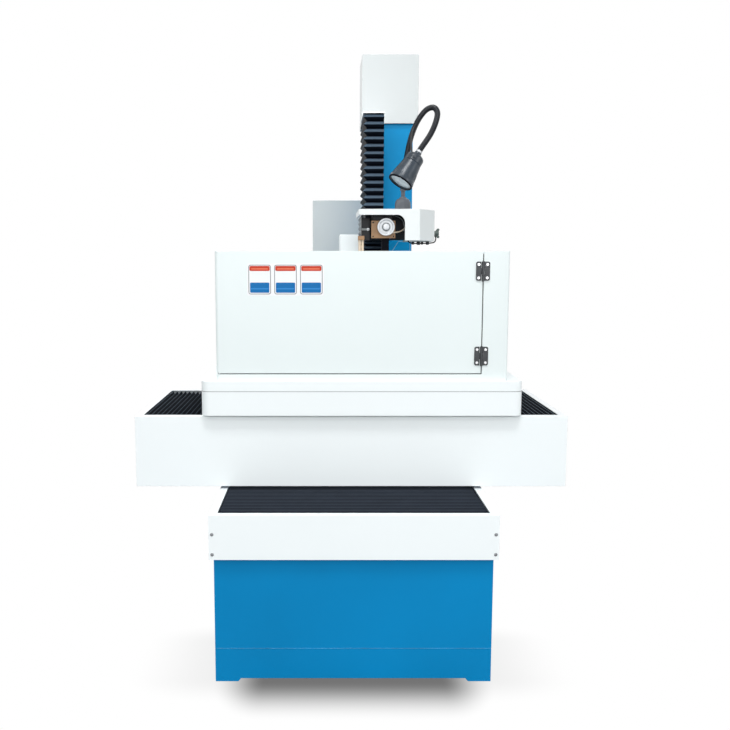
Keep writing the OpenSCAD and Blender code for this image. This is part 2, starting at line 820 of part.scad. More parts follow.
// Column with a foot flange, a sloping back and a raised pad at its front.
module column_casting() {
  foot = 60;
  heel = 40;
  neck = 190;
  neck_z = col_top - 160;
  slope_z = neck_z - 260;
  pad_w = 108;
  pad_x = wire_x + 27;
  pad_t = 40;
  pad_top = head_z + 12;
  pad_z = low_arm_z + 5;
  pad_chamfer = 28;
  tie_z = cap_z + 18;
  color("#1282c3") {
    translate([col_x, 0, 0]) rotate([90, 0, 90]) linear_extrude(col_w)
      polygon([[col_y, bed_h], [col_y + col_d, bed_h], [col_y + col_d, bed_h + foot],
               [col_y + col_d - heel, bed_h + 2 * foot], [col_y + col_d - heel, slope_z],
               [col_y + neck, neck_z], [col_y + neck, col_top], [col_y, col_top]]);
    block(col_x - col_foot_over, col_y + 8, bed_h, col_w + 5 * col_foot_over, col_d - 8,
          col_foot_h);
    translate([0, col_y + 1, 0]) rotate([90, 0, 0]) linear_extrude(pad_t + 1)
      polygon([[pad_x, pad_z], [pad_x + pad_w, pad_z], [pad_x + pad_w, pad_top],
               [pad_x + pad_chamfer, pad_top], [pad_x, pad_top - pad_chamfer]]);
    block(cap_x + sheet + bellows_seat, col_y + 40, tie_z,
          cap_w - 2 * (sheet + bellows_seat), 100, 60);
  }
}

// Sheet-metal cover over the Z drive, open below.
module column_top_cover() {
  color("#f0f6f7") translate([cap_x, cap_y, cap_z]) difference() {
    cube([cap_w, cap_d, cap_h]);
    translate([sheet, sheet, -1]) cube([cap_w - 2 * sheet, cap_d - 2 * sheet, cap_h - sheet + 1]);
  }
}

// Upright beam with two rails, and a top plate that the Z bellows hangs from.
module z_beam() {
  plate = 4;
  top = cap_z - 3 + plate;
  mid = beam_x + beam_w / 2;
  color("#aab0b5") {
    block(beam_x, beam_y, low_arm_top, beam_w, col_y - beam_y, top - plate - low_arm_top);
    block(zb_x, zb_y, top - plate, zb_w, cap_y - zb_y - bellows_seat, plate);
    for (s = [-1, 1])
      block(mid + s * z_rail_in - z_rail_w / 2, z_rail_y, low_arm_top + 30, z_rail_w,
            z_rail_t + 1, top - plate - low_arm_top - 60);
  }
}

module z_bellows_top() {
  color("#191c26") z_pleats(zb_top_z, cap_z - 3 - bellows_seat, z_pitch_top);
}

module z_bellows_low() {
  color("#191c26") z_pleats(zb_low_z, zb_low_end, z_pitch_low);
}

// Lower arm from the column to the wire, with a slotted nose for the lower guide wheel.
module lower_arm() {
  nose = 30;
  slot = low_wheel_t + 1;
  wheel_y0 = wire_y + low_wheel_r;
  color("#1282c3") difference() {
    union() {
      block(low_arm_x, low_arm_front + 40, low_arm_z, low_arm_w, col_y - low_arm_front - 40,
            low_arm_h);
      block(wire_x - nose, low_arm_front, low_arm_z, 2 * nose, 95, low_arm_h);
    }
    block(wire_x - slot / 2, low_arm_front - 1, low_arm_z - 1, slot, 87, low_arm_h - 9);
    translate([wire_x, wheel_y0, low_wheel_z]) rotate([0, 90, 0])
      cylinder(r = low_pin_r + shaft_fit, h = 3 * nose, center = true);
    translate([wire_x, wire_y, low_arm_z]) cylinder(r = 2, h = low_arm_h + 1);
  }
}

// Lower wire guide that stands on the nose.
module lower_nozzle() {
  color("#d8a860") translate([wire_x, wire_y, low_arm_top]) rotate_extrude()
    polygon([[1.5, 0], [20, 0], [20, 10], [14, 16], [9, 26], [1.5, 26]]);
}

// Grooved wheel with its shaft, lying along X.
module lower_guide_wheel() {
  color("#cfd3d6") translate([wire_x, wire_y + low_wheel_r, low_wheel_z]) rotate([0, 90, 0])
    rotate_extrude() polygon([[0, -27], [low_pin_r, -27], [low_pin_r, -low_wheel_t / 2],
      [low_wheel_r, -low_wheel_t / 2], [low_wheel_r - 2.5, 0], [low_wheel_r, low_wheel_t / 2],
      [low_pin_r, low_wheel_t / 2], [low_pin_r, 27], [0, 27]]);
}

// Flat shield between the wire drum and the work space, folded back at its left edge.
module drum_shield() {
  color("#b6bec6") {
    block(shield_x, shield_y, bed_h, col_x - col_foot_over - shield_x - bellows_seat, sheet,
          shield_top - bed_h);
    block(shield_x, shield_y, bed_h + col_foot_h + bellows_seat, col_x - shield_x, sheet,
          shield_top - bed_h - col_foot_h - bellows_seat);
    block(shield_x, shield_y, bed_h, sheet, shield_fold, shield_top - bed_h);
    block(shield_x, shield_y, shield_top - sheet, col_x - shield_x, shield_fold, sheet);
  }
}

// White box beside the Z way, carried by the column's left side.
module wire_guide_cover() {
  gap = 10;
  x1 = zb_x - gap;
  z1 = head_z + guide_cover_rise;
  color("#f0f6f7") {
    block(x1 - guide_cover_w, guide_cover_y, z1 - guide_cover_h, guide_cover_w, guide_cover_d,
          guide_cover_h);
    block(x1 - 1, col_y + 5, z1 - 0.8 * guide_cover_h, col_x - x1 + 1, guide_cover_y
          + guide_cover_d - col_y - 10, 0.6 * guide_cover_h);
  }
}

// ---- Z slide ----

// Sleeve around the beam, with slots that run on the two rails.
module z_carriage() {
  mid = beam_x + beam_w / 2;
  play = 1.5;
  z0 = arm_z;
  h = zb_top_z - bellows_seat - arm_z;
  color("#8f969c") difference() {
    block(zb_x, zb_y, z0, zb_w, zb_back - zb_y, h);
    block(beam_x - play, beam_y - play, z0 - 1, beam_w + 2 * play, zb_back - beam_y + play + 1,
          h + 2);
    for (s = [-1, 1])
      block(mid + s * z_rail_in - z_rail_w / 2 - rail_gap, z_rail_y - rail_gap, z0 - 1,
            z_rail_w + 2 * rail_gap, z_rail_t + 1, h + 2);
  }
}

// Upper arm with the thin tongue that the taper head hangs under.
module upper_arm() {
  color("#16181c") {
    translate([arm_x, 0, 0]) rotate([90, 0, 90]) linear_extrude(arm_w)
      polygon([[zb_y, arm_z], [zb_y, arm_top], [arm_front, arm_top], [arm_front, arm_z + arm_nose],
               [arm_front + arm_nose, arm_z]]);
    block(tongue_x, tongue_y, arm_top - tongue_t, tongue_w, arm_front - tongue_y + 1,
          tongue_t);
  }
}

// Folded hood: a top plate with a lip, a front panel on the right and an angled corner.
module head_cover() {
  bend = 209;
  slant_y = 95;
  right = head_x + head_w;
  back = zb_y - 1;
  t = sheet;
  outer = [[head_x, head_y], [head_x + bend, head_y], [right, head_y + slant_y],
           [right, back], [head_x, back]];
  inner = [[head_x + t, head_y + t], [head_x + bend - 0.5 * t, head_y + t],
           [right - t, head_y + slant_y + 0.5 * t], [right - t, back - t],
           [head_x + t, back - t]];
  open_h = head_h - head_lip;
  corner = 27;
  color("#f0f6f7") difference() {
    translate([0, 0, head_z]) linear_extrude(head_h) polygon(outer);
    translate([0, 0, head_z - 1]) linear_extrude(head_h - t + 1) polygon(inner);
    translate([head_x - 1, head_y + 2 * t, head_z - 1]) rotate([90, 0, 0])
      linear_extrude(3 * t) {
        square([head_open + 1, open_h + 1 - corner]);
        square([head_open + 1 - corner, open_h + 1]);
        translate([head_open + 1 - corner, open_h + 1 - corner]) circle(corner);
      }
    block(head_x - 1, head_y + 2 * t, head_z - 1, t + 2, back, open_h + 1);
    block(head_x + t, back - 2 * t, head_z - 1, arm_x + arm_w + bellows_seat - head_x - t,
          3 * t, head_h - t + 1);
    translate([right - 2 * t, knob_y, knob_z]) rotate([0, 90, 0])
      cylinder(r = knob_r + shaft_fit, h = 4 * t);
  }
}

// Block that feeds the flushing tubes, on a bar from the arm's left side.
module tube_manifold() {
  bar_x = head_x + sheet + 1;
  color("#a97d55") {
    block(tube_x - 6, wire_y - 19, head_z + 3, tube_pitch + 12, 18, 14);
    block(bar_x, wire_y - 2, head_z + 3, v_motor_x - 2 - bar_x, arm_front + 30 - wire_y, 14);
    block(bar_x, arm_front + 16, head_z + 3, arm_x - bar_x - bellows_seat, 12, 14);
  }
}

// Two upright flushing tubes.
module coolant_tubes() {
  color("#e1cdb4") for (i = [0, 1])
    translate([tube_x + i * tube_pitch, wire_y - 10, nozzle_z + 50]) {
      difference() {
        cylinder(r = tube_r, h = head_z + 3 - nozzle_z - 50);
        translate([0, 0, -1]) cylinder(r = tube_r - 1.5, h = 60);
      }
    }
}

// Wing knob on the hood's right side, with its collar and shaft.
module clamp_knob() {
  right = head_x + head_w;
  wing_in = 8;
  wing_h = 13.5;
  wing_t = 5;
  color("#4d5a55") translate([right, knob_y, knob_z]) rotate([0, 90, 0]) {
    translate([0, 0, -16]) cylinder(r = knob_r, h = 20);
    translate([0, 0, -sheet - 3.3]) cylinder(r = knob_r + 4, h = 3);
    translate([0, 0, 0.3]) cylinder(r = 9, h = 6, $fn = 6);
    translate([0, 0, 6]) cylinder(r = 7.5, h = 13);
    for (a = [0, 180]) rotate([0, 0, a]) translate([0, wing_t / 2, wing_in]) rotate([90, 0, 0])
      linear_extrude(wing_t)
        polygon([[0, 0], [10, 0], [17, 6], [17, 12], [12, wing_h], [6, 10], [0, 10]]);
  }
}

// ---- Taper head ----

// Slide along Y under the arm's tongue.
module v_slide() {
  color("#b9bec2") {
    block(tongue_x, v_y, v_top - v_h, tongue_w, v_d, v_h);
    block(v_motor_x + v_motor_w, v_y + 10, v_top - v_h + 3, tongue_x - v_motor_x - v_motor_w + 1,
          v_d - 20, v_h - 6);
  }
}

// Black drive of the taper head, with one round lower corner.
module taper_motor() {
  h = 78;
  r = 14;
  color("#16181c") translate([v_motor_x, v_y + 5 + v_d - 10, head_z + 2]) rotate([90, 0, 0])
    linear_extrude(v_d - 10) {
      translate([r, 0]) square([v_motor_w - r, h]);
      translate([0, r]) square([v_motor_w, h - r]);
      translate([r, r]) circle(r);
    }
}

// Slide along X under the first one.
module u_slide() {
  color("#9aa1a6") block(u_x, plate_y + plate_t, u_top - u_h, u_w, v_y + v_d - plate_y - plate_t,
                         u_h);
}

// Insulating plate at the front of the taper head, with the guide wheel's pin.
module taper_plate() {
  color("#a97d55") {
    block(wire_x - 50, plate_y, plate_z, 83, plate_t, plate_h);
    translate([wire_x, plate_y + 1, wheel_z]) rotate([90, 0, 0]) {
      cylinder(r = wheel_pin_r, h = plate_y + 1 - wheel_y + 4);
      cylinder(r = wheel_pin_r + 8, h = 9.7);
    }
    translate([wire_x, wheel_y - bellows_seat, wheel_z]) rotate([90, 0, 0])
      cylinder(r = wheel_pin_r + 3, h = 3);
  }
}

// Silver wheel with a dished front face and a raised hub.
module guide_wheel() {
  bore = wheel_pin_r + shaft_fit;
  color("#d9dcdd") translate([wire_x, wheel_y + wheel_t, wheel_z]) rotate([90, 0, 0])
    rotate_extrude() polygon([[bore, 0], [wheel_r - 1, 0], [wheel_r, 1],
      [wheel_r - 2, wheel_t / 2], [wheel_r, wheel_t - 1], [wheel_r - 1, wheel_t],
      [wheel_r - 5, wheel_t], [wheel_r - 8, wheel_t - 1.5], [15, wheel_t - 1.5],
      [14, wheel_t], [bore, wheel_t]]);
}

// Upper wire guide: an upright holder with a cone at its lower end.
module upper_nozzle() {
  top = u_top - u_h;
  cone = 30;
  half = 12;
  color("#16181c") {
    block(wire_x - half, plate_y + plate_t, nozzle_z + cone, 2 * half, 2 * half,
          top - nozzle_z - cone);
    translate([wire_x, wire_y, nozzle_z]) rotate_extrude()
      polygon([[1, 0], [5, 0], [half, 16], [half, cone + 1], [1, cone + 1]]);
  }
}

// ---- Work lamp ----

// Turns what points up so that it points along the lamp's beam, from the lamp's cap.
module along_beam() {
  n = norm(lamp_dir);
  translate(lamp_cap) rotate([0, acos(lamp_dir[2] / n), atan2(lamp_dir[1], lamp_dir[0])])
    children();
}

// Magnetic foot with round shoulders, a thin stem and a ferrule for the flexible arm.
module lamp_foot() {
  r = lamp_foot_r;
  h = lamp_foot_h;
  stem = goose_r - 2.6;
  ring = goose_r + 2;
  ferrule = goose_r + 0.8;
  side_h = 28;
  dome_h = 22;
  color("#1c1f22") translate([lamp_x, lamp_y, lamp_foot_z]) rotate_extrude()
    polygon(concat([[0, 0], [r, 0]],
      [for (a = [0:15:60]) [ring + (r - ring) * cos(a * 1.4), side_h + dome_h * sin(a * 1.4)]],
      [[ring, side_h + dome_h + 4], [stem, side_h + dome_h + 5], [stem, h - 9], [ferrule, h - 8],
       [ferrule, h], [0, h]]));
}

// Route of the flexible arm: it leans back and rises, turns over and comes down to the cap.
goose_dir = lamp_dir / norm(lamp_dir);
goose_end = lamp_cap - goose_dir * 6.9;
goose_points = [[lamp_x, lamp_y, lamp_foot_z + lamp_foot_h + 2 * bellows_seat], [201, 730, 1560],
  [212, 729, 1635], [223, 724, 1690], [236, 715, 1732], [254, 702, 1768], [277, 686, 1794],
  [300, 668, 1798], [311, 650, 1777], [303, 635, 1740], [283, 621, 1697],
  goose_end - goose_dir * 22, goose_end];

function spline(a, b, c, d, t) =
  0.5 * ((2 * b) + (c - a) * t + (2 * a - 5 * b + 4 * c - d) * t * t
         + (3 * b - a - 3 * c + d) * t * t * t);
function spline_path(p, steps) =
  let (n = len(p))
  [for (i = [0:n - 2], k = [0:steps - 1])
     spline(p[max(i - 1, 0)], p[i], p[i + 1], p[min(i + 2, n - 1)], k / steps), p[n - 1]];
function unit(v) = v / norm(v);

// Round tube along a path; every other ring is a little narrower, like the real coil.
module flexible_tube(path, r, sides) {
  n = len(path);
  rings = [for (i = [0:n - 1])
    let (t = unit(path[min(i + 1, n - 1)] - path[max(i - 1, 0)]),
         a = unit(cross(t, [0, 1, 0])), b = cross(t, a), q = i % 2 == 0 ? r : r * 0.9)
    each [for (k = [0:sides - 1]) path[i] + q * (cos(360 * k / sides) * a
                                                + sin(360 * k / sides) * b)]];
  walls = [for (i = [0:n - 2], k = [0:sides - 1])
    let (c = i * sides + k, d = i * sides + (k + 1) % sides)
    each [[c, c + sides, d], [d, c + sides, d + sides]]];
  polyhedron(rings, concat(walls, [[for (k = [0:sides - 1]) k],
    [for (k = [sides - 1:-1:0]) (n - 1) * sides + k]]));
}

module lamp_arm() {
  color("#1c1f22") flexible_tube(spline_path(goose_points, 7), goose_r, 10);
}

// Turned lamp head, open at its front, with cooling ribs round the rim.
module lamp_head() {
  r = lamp_rim_r;
  l = lamp_len;
  c = lamp_cap_r;
  color("#1c1f22") along_beam() difference() {
    rotate_extrude() polygon([[0, -6], [12, -6], [13, 2], [c * 0.8, 8], [c - 2, 12], [c, 17],
      [c, lamp_cap_len - 1], [c - 1, lamp_cap_len], [c + 1, lamp_cap_len + 2], [r - 3, l - 22],
      [r - 1, l - 14], [r, l - 10], [r, l], [lens_r + 0.3, l], [lens_r + 0.3, l - 8],
      [lens_r - 3, l - 8], [c * 0.6, 48], [0, 48]]);
    switch_place() cylinder(r = switch_r + 0.3, h = lamp_cap_r);
  }
}

lens_r = lamp_rim_r - 6.5;
switch_r = 5;
switch_travel = 2;

switch_turn = 30;

// The switch sits square to the beam on the cap, on the side that faces front and right.
module switch_place() {
  translate([0, 0, 26]) rotate([0, 0, switch_turn]) rotate([-90, 0, 0])
    translate([0, 0, lamp_cap_r - 10]) children();
}

module lamp_lens() {
  color("#c9ced1") along_beam() translate([0, 0, lamp_len - 8]) cylinder(r = lens_r, h = 3);
}

module lamp_switch() {
  color("#4a4d50") along_beam() switch_place()
    translate([0, 0, switch_travel + bellows_seat]) cylinder(r = switch_r, h = 12);
}

// ---- Wire drum ----

drum_left = drum_x - drum_len / 2;
drum_right = drum_x + drum_len / 2;
bracket_gap = 6;
bracket_in_left = drum_left - bracket_gap;
bracket_in_right = drum_right + bracket_gap;
drum_plate_z = stand_top + drum_rail_h + 0.3;

// Hollow stand, open below, with two rails on its top.
module drum_stand() {
  wall = 16;
  rail_t = 20;
  color("#1282c3") {
    difference() {
      block(stand_x, stand_y, bed_h, stand_w, stand_d, stand_top - bed_h);
      for (i = [0, 1])
        block(stand_x + wall + i * (stand_w - wall) / 2, stand_y + wall, bed_h - 1,
              (stand_w - 3 * wall) / 2, stand_d - 2 * wall, stand_top - bed_h - wall + 1);
    }
    for (y = [stand_y + 20, stand_y + stand_d - 20 - rail_t])
      block(stand_x + 10, y, stand_top, stand_w - 20, rail_t, drum_rail_h);
  }
}

// Sliding plate with two bearing brackets and the drum's motor.
module drum_carriage() {
  w = bracket_in_right - bracket_in_left + 2 * bracket_t;
  x0 = bracket_in_left - bracket_t;
  h = drum_z - drum_plate_z;
  d = stand_d - 20;
  y0 = stand_y + 10;
  leg_in = 12;
  neck_len = 25;
  cap_len = 8;
  color("#9aa1a6") difference() {
    union() {
      block(x0, y0, drum_plate_z, w, d, slide_t);
      for (x = [x0, bracket_in_right]) translate([x, drum_y, drum_plate_z])
        rotate([90, 0, 90]) linear_extrude(bracket_t) {
          polygon([[leg_in - d / 2, 0], [d / 2 - leg_in, 0], [bearing_r, h], [-bearing_r, h]]);
          translate([0, h]) circle(bearing_r);
        }
      translate([x0 + 1, drum_y, drum_z]) rotate([0, -90, 0]) {
        cylinder(r = bearing_r - 4, h = neck_len);
        translate([0, 0, neck_len - 1]) cylinder(r = motor_r, h = motor_len);
        translate([0, 0, neck_len + motor_len - 2]) cylinder(r = motor_r - 12, h = cap_len);
      }
    }
    translate([x0 - leg_in, drum_y, drum_z]) rotate([0, 90, 0])
      cylinder(r = shaft_r + shaft_fit, h = w + leg_in + 1);
  }
}

// Drum with flanges and its shaft.
module wire_drum() {
  x0 = bracket_in_left - bracket_t;
  left = drum_left - x0;
  full = bracket_in_right + bracket_t - x0;
  r = drum_r;
  color("#cfd3d6") translate([x0, drum_y, drum_z]) rotate([0, 90, 0]) rotate_extrude()
    polygon([[0, 2], [shaft_r, 2], [shaft_r, left], [r, left], [r, left + 6],
      [r - 5, left + 9], [r - 5, left + drum_len - 9], [r, left + drum_len - 6],
      [r, left + drum_len], [shaft_r, left + drum_len], [shaft_r, full - 2], [0, full - 2]]);
}

at_machine() bed_casting();
at_machine() y_front_cover();
at_machine() y_cover_left();
at_machine() y_cover_right();
at_machine() cover_screws();
at_machine() y_rails();
at_machine() y_bellows_front();
at_machine() y_bellows_rear();
at_machine() saddle_casting();
at_machine() saddle_front_cover();
at_machine() saddle_rear_cover();
at_machine() saddle_left_cover();
at_machine() saddle_right_cover();
at_machine() y_carriages();
at_machine() x_rails();
at_machine() x_bellows_left();
at_machine() x_bellows_right();
at_machine() table_casting();
at_machine() x_carriages();
at_machine() water_tray();
at_machine() tray_lip();
at_machine() splash_guard();
at_machine() worktable_frame();
at_machine() worktable_posts();
at_machine() hinge_fixed_leaves();
at_machine() hinge_pins();
at_machine() guard_screws();
at_machine() door_panel();
at_machine() hinge_door_leaves();
at_machine() door_screws();
at_machine() column_casting();
at_machine() column_top_cover();
at_machine() z_beam();
at_machine() z_bellows_top();
at_machine() z_bellows_low();
at_machine() lower_arm();
at_machine() lower_nozzle();
at_machine() drum_shield();
at_machine() wire_guide_cover();
at_machine() drum_stand();
at_machine() lower_guide_wheel();
at_machine() z_carriage();
at_machine() upper_arm();
at_machine() head_cover();
at_machine() tube_manifold();
at_machine() coolant_tubes();
at_machine() lamp_foot();
at_machine() lamp_arm();
at_machine() lamp_head();
at_machine() lamp_lens();
at_machine() clamp_knob();
at_machine() lamp_switch();
at_machine() v_slide();
at_machine() taper_motor();
at_machine() u_slide();
at_machine() taper_plate();
at_machine() guide_wheel();
at_machine() upper_nozzle();
at_machine() drum_carriage();
at_machine() wire_drum();
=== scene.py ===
import json
import math

import bmesh
import bpy
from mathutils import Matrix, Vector

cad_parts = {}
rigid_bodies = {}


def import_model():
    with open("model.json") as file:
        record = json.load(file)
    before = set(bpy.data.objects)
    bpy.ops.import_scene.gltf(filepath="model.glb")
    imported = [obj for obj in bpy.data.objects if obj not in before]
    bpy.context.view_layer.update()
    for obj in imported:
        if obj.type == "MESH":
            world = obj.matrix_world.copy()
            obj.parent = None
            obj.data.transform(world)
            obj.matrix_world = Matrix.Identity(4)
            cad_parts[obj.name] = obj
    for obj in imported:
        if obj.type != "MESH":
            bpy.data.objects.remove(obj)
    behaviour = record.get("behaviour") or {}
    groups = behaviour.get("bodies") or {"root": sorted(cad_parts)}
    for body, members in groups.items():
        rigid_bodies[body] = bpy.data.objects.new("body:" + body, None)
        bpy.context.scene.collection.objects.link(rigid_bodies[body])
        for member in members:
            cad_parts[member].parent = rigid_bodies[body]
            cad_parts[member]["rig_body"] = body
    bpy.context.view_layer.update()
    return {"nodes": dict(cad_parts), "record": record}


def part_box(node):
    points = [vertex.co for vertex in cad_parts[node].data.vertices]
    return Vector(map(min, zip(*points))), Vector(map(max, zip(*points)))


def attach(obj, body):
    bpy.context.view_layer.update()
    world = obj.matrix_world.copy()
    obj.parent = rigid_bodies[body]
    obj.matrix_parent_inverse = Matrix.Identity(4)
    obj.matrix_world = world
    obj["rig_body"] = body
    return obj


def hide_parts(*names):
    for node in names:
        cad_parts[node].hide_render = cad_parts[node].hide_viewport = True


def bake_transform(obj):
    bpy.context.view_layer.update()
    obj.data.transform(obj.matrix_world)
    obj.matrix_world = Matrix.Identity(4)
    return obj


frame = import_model()

MM = 0.001
NODES = frame["nodes"]


def make_mesh(name, verts, faces):
    """A mesh with the given corners and faces."""
    mesh = bpy.data.meshes.new(name)
    mesh.from_pydata(verts, [], faces)
    return mesh


# ---- Camera and light ----

def add_camera():
    """A view from in front and a little to the left, pitched down to the table."""
    focal_mm, sensor_mm, sideways_shift = 41.9, 36.0, 0.0548
    pitch = math.radians(7.07)
    aside, before_bed, height = -0.085, 2.429, 1.264
    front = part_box("bed_casting")[0][1]
    data = bpy.data.cameras.new("camera")
    data.lens = focal_mm
    data.sensor_width = sensor_mm
    data.shift_x = sideways_shift
    camera = bpy.data.objects.new("camera", data)
    camera.location = (aside, front - before_bed, height)
    camera.rotation_euler = (math.radians(90) - pitch, 0, 0)
    bpy.context.scene.collection.objects.link(camera)
    bpy.context.scene.camera = camera


def area_light(name, place, target, width, height, watts):
    """A rectangular light that faces its target."""
    data = bpy.data.lights.new(name, "AREA")
    data.shape = "RECTANGLE"
    data.size, data.size_y, data.energy = width, height, watts
    light = bpy.data.objects.new(name, data)
    light.location = place
    light.rotation_euler = (Vector(target) - Vector(place)).to_track_quat("-Z", "Y").to_euler()
    bpy.context.scene.collection.objects.link(light)


def add_lights():
    """Large soft lights round the machine, and a small one that fills in beside the head."""
    middle = (0, 0, 0.9)
    area_light("key", (-1.6, -7.4, 5.8), middle, 4.0, 3.4, 150)
    area_light("fill", (7.4, -5.2, 3.0), middle, 4.2, 4.2, 136)
    area_light("low_front", (0, -8.2, 2.5), (0, 0, 0.45), 5.4, 2.2, 168)
    area_light("back", (-4.2, 5.4, 4.2), middle, 3.4, 3.4, 100)
    area_light("rear_left", (-0.75, -0.4, 2.1), (-0.06, 0.13, 1.33), 0.5, 0.5, 4.5)
    area_light("top", (0.2, -3.4, 7.4), (0, -0.3, 0.8), 3.4, 1.6, 240)


def seen_rays(nodes, links):
    """1 for rays of the camera, of gloss and of glass, and 0 for the light between surfaces."""
    path = nodes.new("ShaderNodeLightPath")
    value = path.outputs["Is Camera Ray"]
    for kind in ("Is Glossy Ray", "Is Transmission Ray"):
        most = nodes.new("ShaderNodeMath")
        most.operation = "MAXIMUM"
        links.new(value, most.inputs[0])
        links.new(path.outputs[kind], most.inputs[1])
        value = most.outputs[0]
    return value


def add_world():
    """Pale room light; the camera, gloss and glass see plain white behind the machine."""
    room_colour, room_strength = (0.93, 0.96, 1.0, 1), 0.5
    world = bpy.data.worlds.new("room")
    world.use_nodes = True
    bpy.context.scene.world = world
    nodes, links = world.node_tree.nodes, world.node_tree.links
    nodes.clear()
    out = nodes.new("ShaderNodeOutputWorld")
    light = nodes.new("ShaderNodeBackground")
    light.inputs["Color"].default_value = room_colour
    light.inputs["Strength"].default_value = room_strength
    seen = nodes.new("ShaderNodeBackground")
    seen.inputs["Color"].default_value = (1, 1, 1, 1)
    seen.inputs["Strength"].default_value = 1.0
    mix = nodes.new("ShaderNodeMixShader")
    links.new(seen_rays(nodes, links), mix.inputs["Fac"])
    links.new(light.outputs[0], mix.inputs[1])
    links.new(seen.outputs[0], mix.inputs[2])
    links.new(mix.outputs[0], out.inputs["Surface"])


def soft_patch(nodes, links, centre, inside, squeeze, reach, darkest):
    """A painted shadow on the floor: darkest inside a box, plain white past its reach.

    centre is the box's place along Y, inside its half sizes, squeeze the factors by which
    distances from it count, and darkest the share of white left inside."""
    vector = nodes.new("ShaderNodeTexCoord").outputs["Object"]
    steps = (("SUBTRACT", (0, centre, 0)), ("ABSOLUTE", None), ("SUBTRACT", (*inside, 0)),
             ("MAXIMUM", (0, 0, 0)), ("MULTIPLY", (*squeeze, 1)), ("LENGTH", None))
    for operation, value in steps:
        step = nodes.new("ShaderNodeVectorMath")
        step.operation = operation
        links.new(vector, step.inputs[0])
        if value:
            step.inputs[1].default_value = value
        vector = step.outputs["Value" if operation == "LENGTH" else "Vector"]
    fade = nodes.new("ShaderNodeMapRange")
    fade.interpolation_type = "SMOOTHSTEP"
    fade.inputs["From Max"].default_value = reach
    fade.inputs["To Min"].default_value = darkest
    links.new(vector, fade.inputs["Value"])
    return fade.outputs["Result"]


def add_floor():
    """A floor that looks white but for a painted soft shadow round the machine's foot.

    To the light between surfaces it is a mid grey, so that little comes back up."""
    span, below, bounce = 30.0, 0.5 * MM, 0.24
    low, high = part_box("bed_casting")
    middle, half = (low + high) / 2, (high - low) / 2
    mesh = make_mesh("floor", [(-span, -span, 0), (span, -span, 0), (span, span, 0),
                               (-span, span, 0)], [(0, 1, 2, 3)])
    floor = bpy.data.objects.new("floor", mesh)
    floor.location = (middle.x, middle.y, -below)
    bpy.context.scene.collection.objects.link(floor)
    material = bpy.data.materials.new("floor_white")
    material.use_nodes = True
    nodes, links = material.node_tree.nodes, material.node_tree.links
    nodes.clear()
    out = nodes.new("ShaderNodeOutputMaterial")
    paint = nodes.new("ShaderNodeBsdfDiffuse")
    paint.inputs["Color"].default_value = (bounce, bounce, bounce, 1)
    glow = nodes.new("ShaderNodeEmission")
    near = soft_patch(nodes, links, centre=0, inside=(half.x - 0.15, half.y),
                      squeeze=(1.4, 1), reach=0.225, darkest=0.2)
    wide = soft_patch(nodes, links, centre=-0.66, inside=(half.x - 0.03, 0.12),
                      squeeze=(1, 2), reach=0.31, darkest=0.87)
    both = nodes.new("ShaderNodeMath")
    both.operation = "MULTIPLY"
    links.new(near, both.inputs[0])
    links.new(wide, both.inputs[1])
    links.new(both.outputs[0], glow.inputs["Strength"])
    mix = nodes.new("ShaderNodeMixShader")
    links.new(seen_rays(nodes, links), mix.inputs["Fac"])
    links.new(paint.outputs[0], mix.inputs[1])
    links.new(glow.outputs[0], mix.inputs[2])
    links.new(mix.outputs[0], out.inputs["Surface"])
    mesh.materials.append(material)


# ---- Materials ----

def tint(colour, factor):
    """The colour with each channel times a factor, as a socket takes it."""
    return tuple(min(1.0, c * factor) for c in colour) + (1.0,)


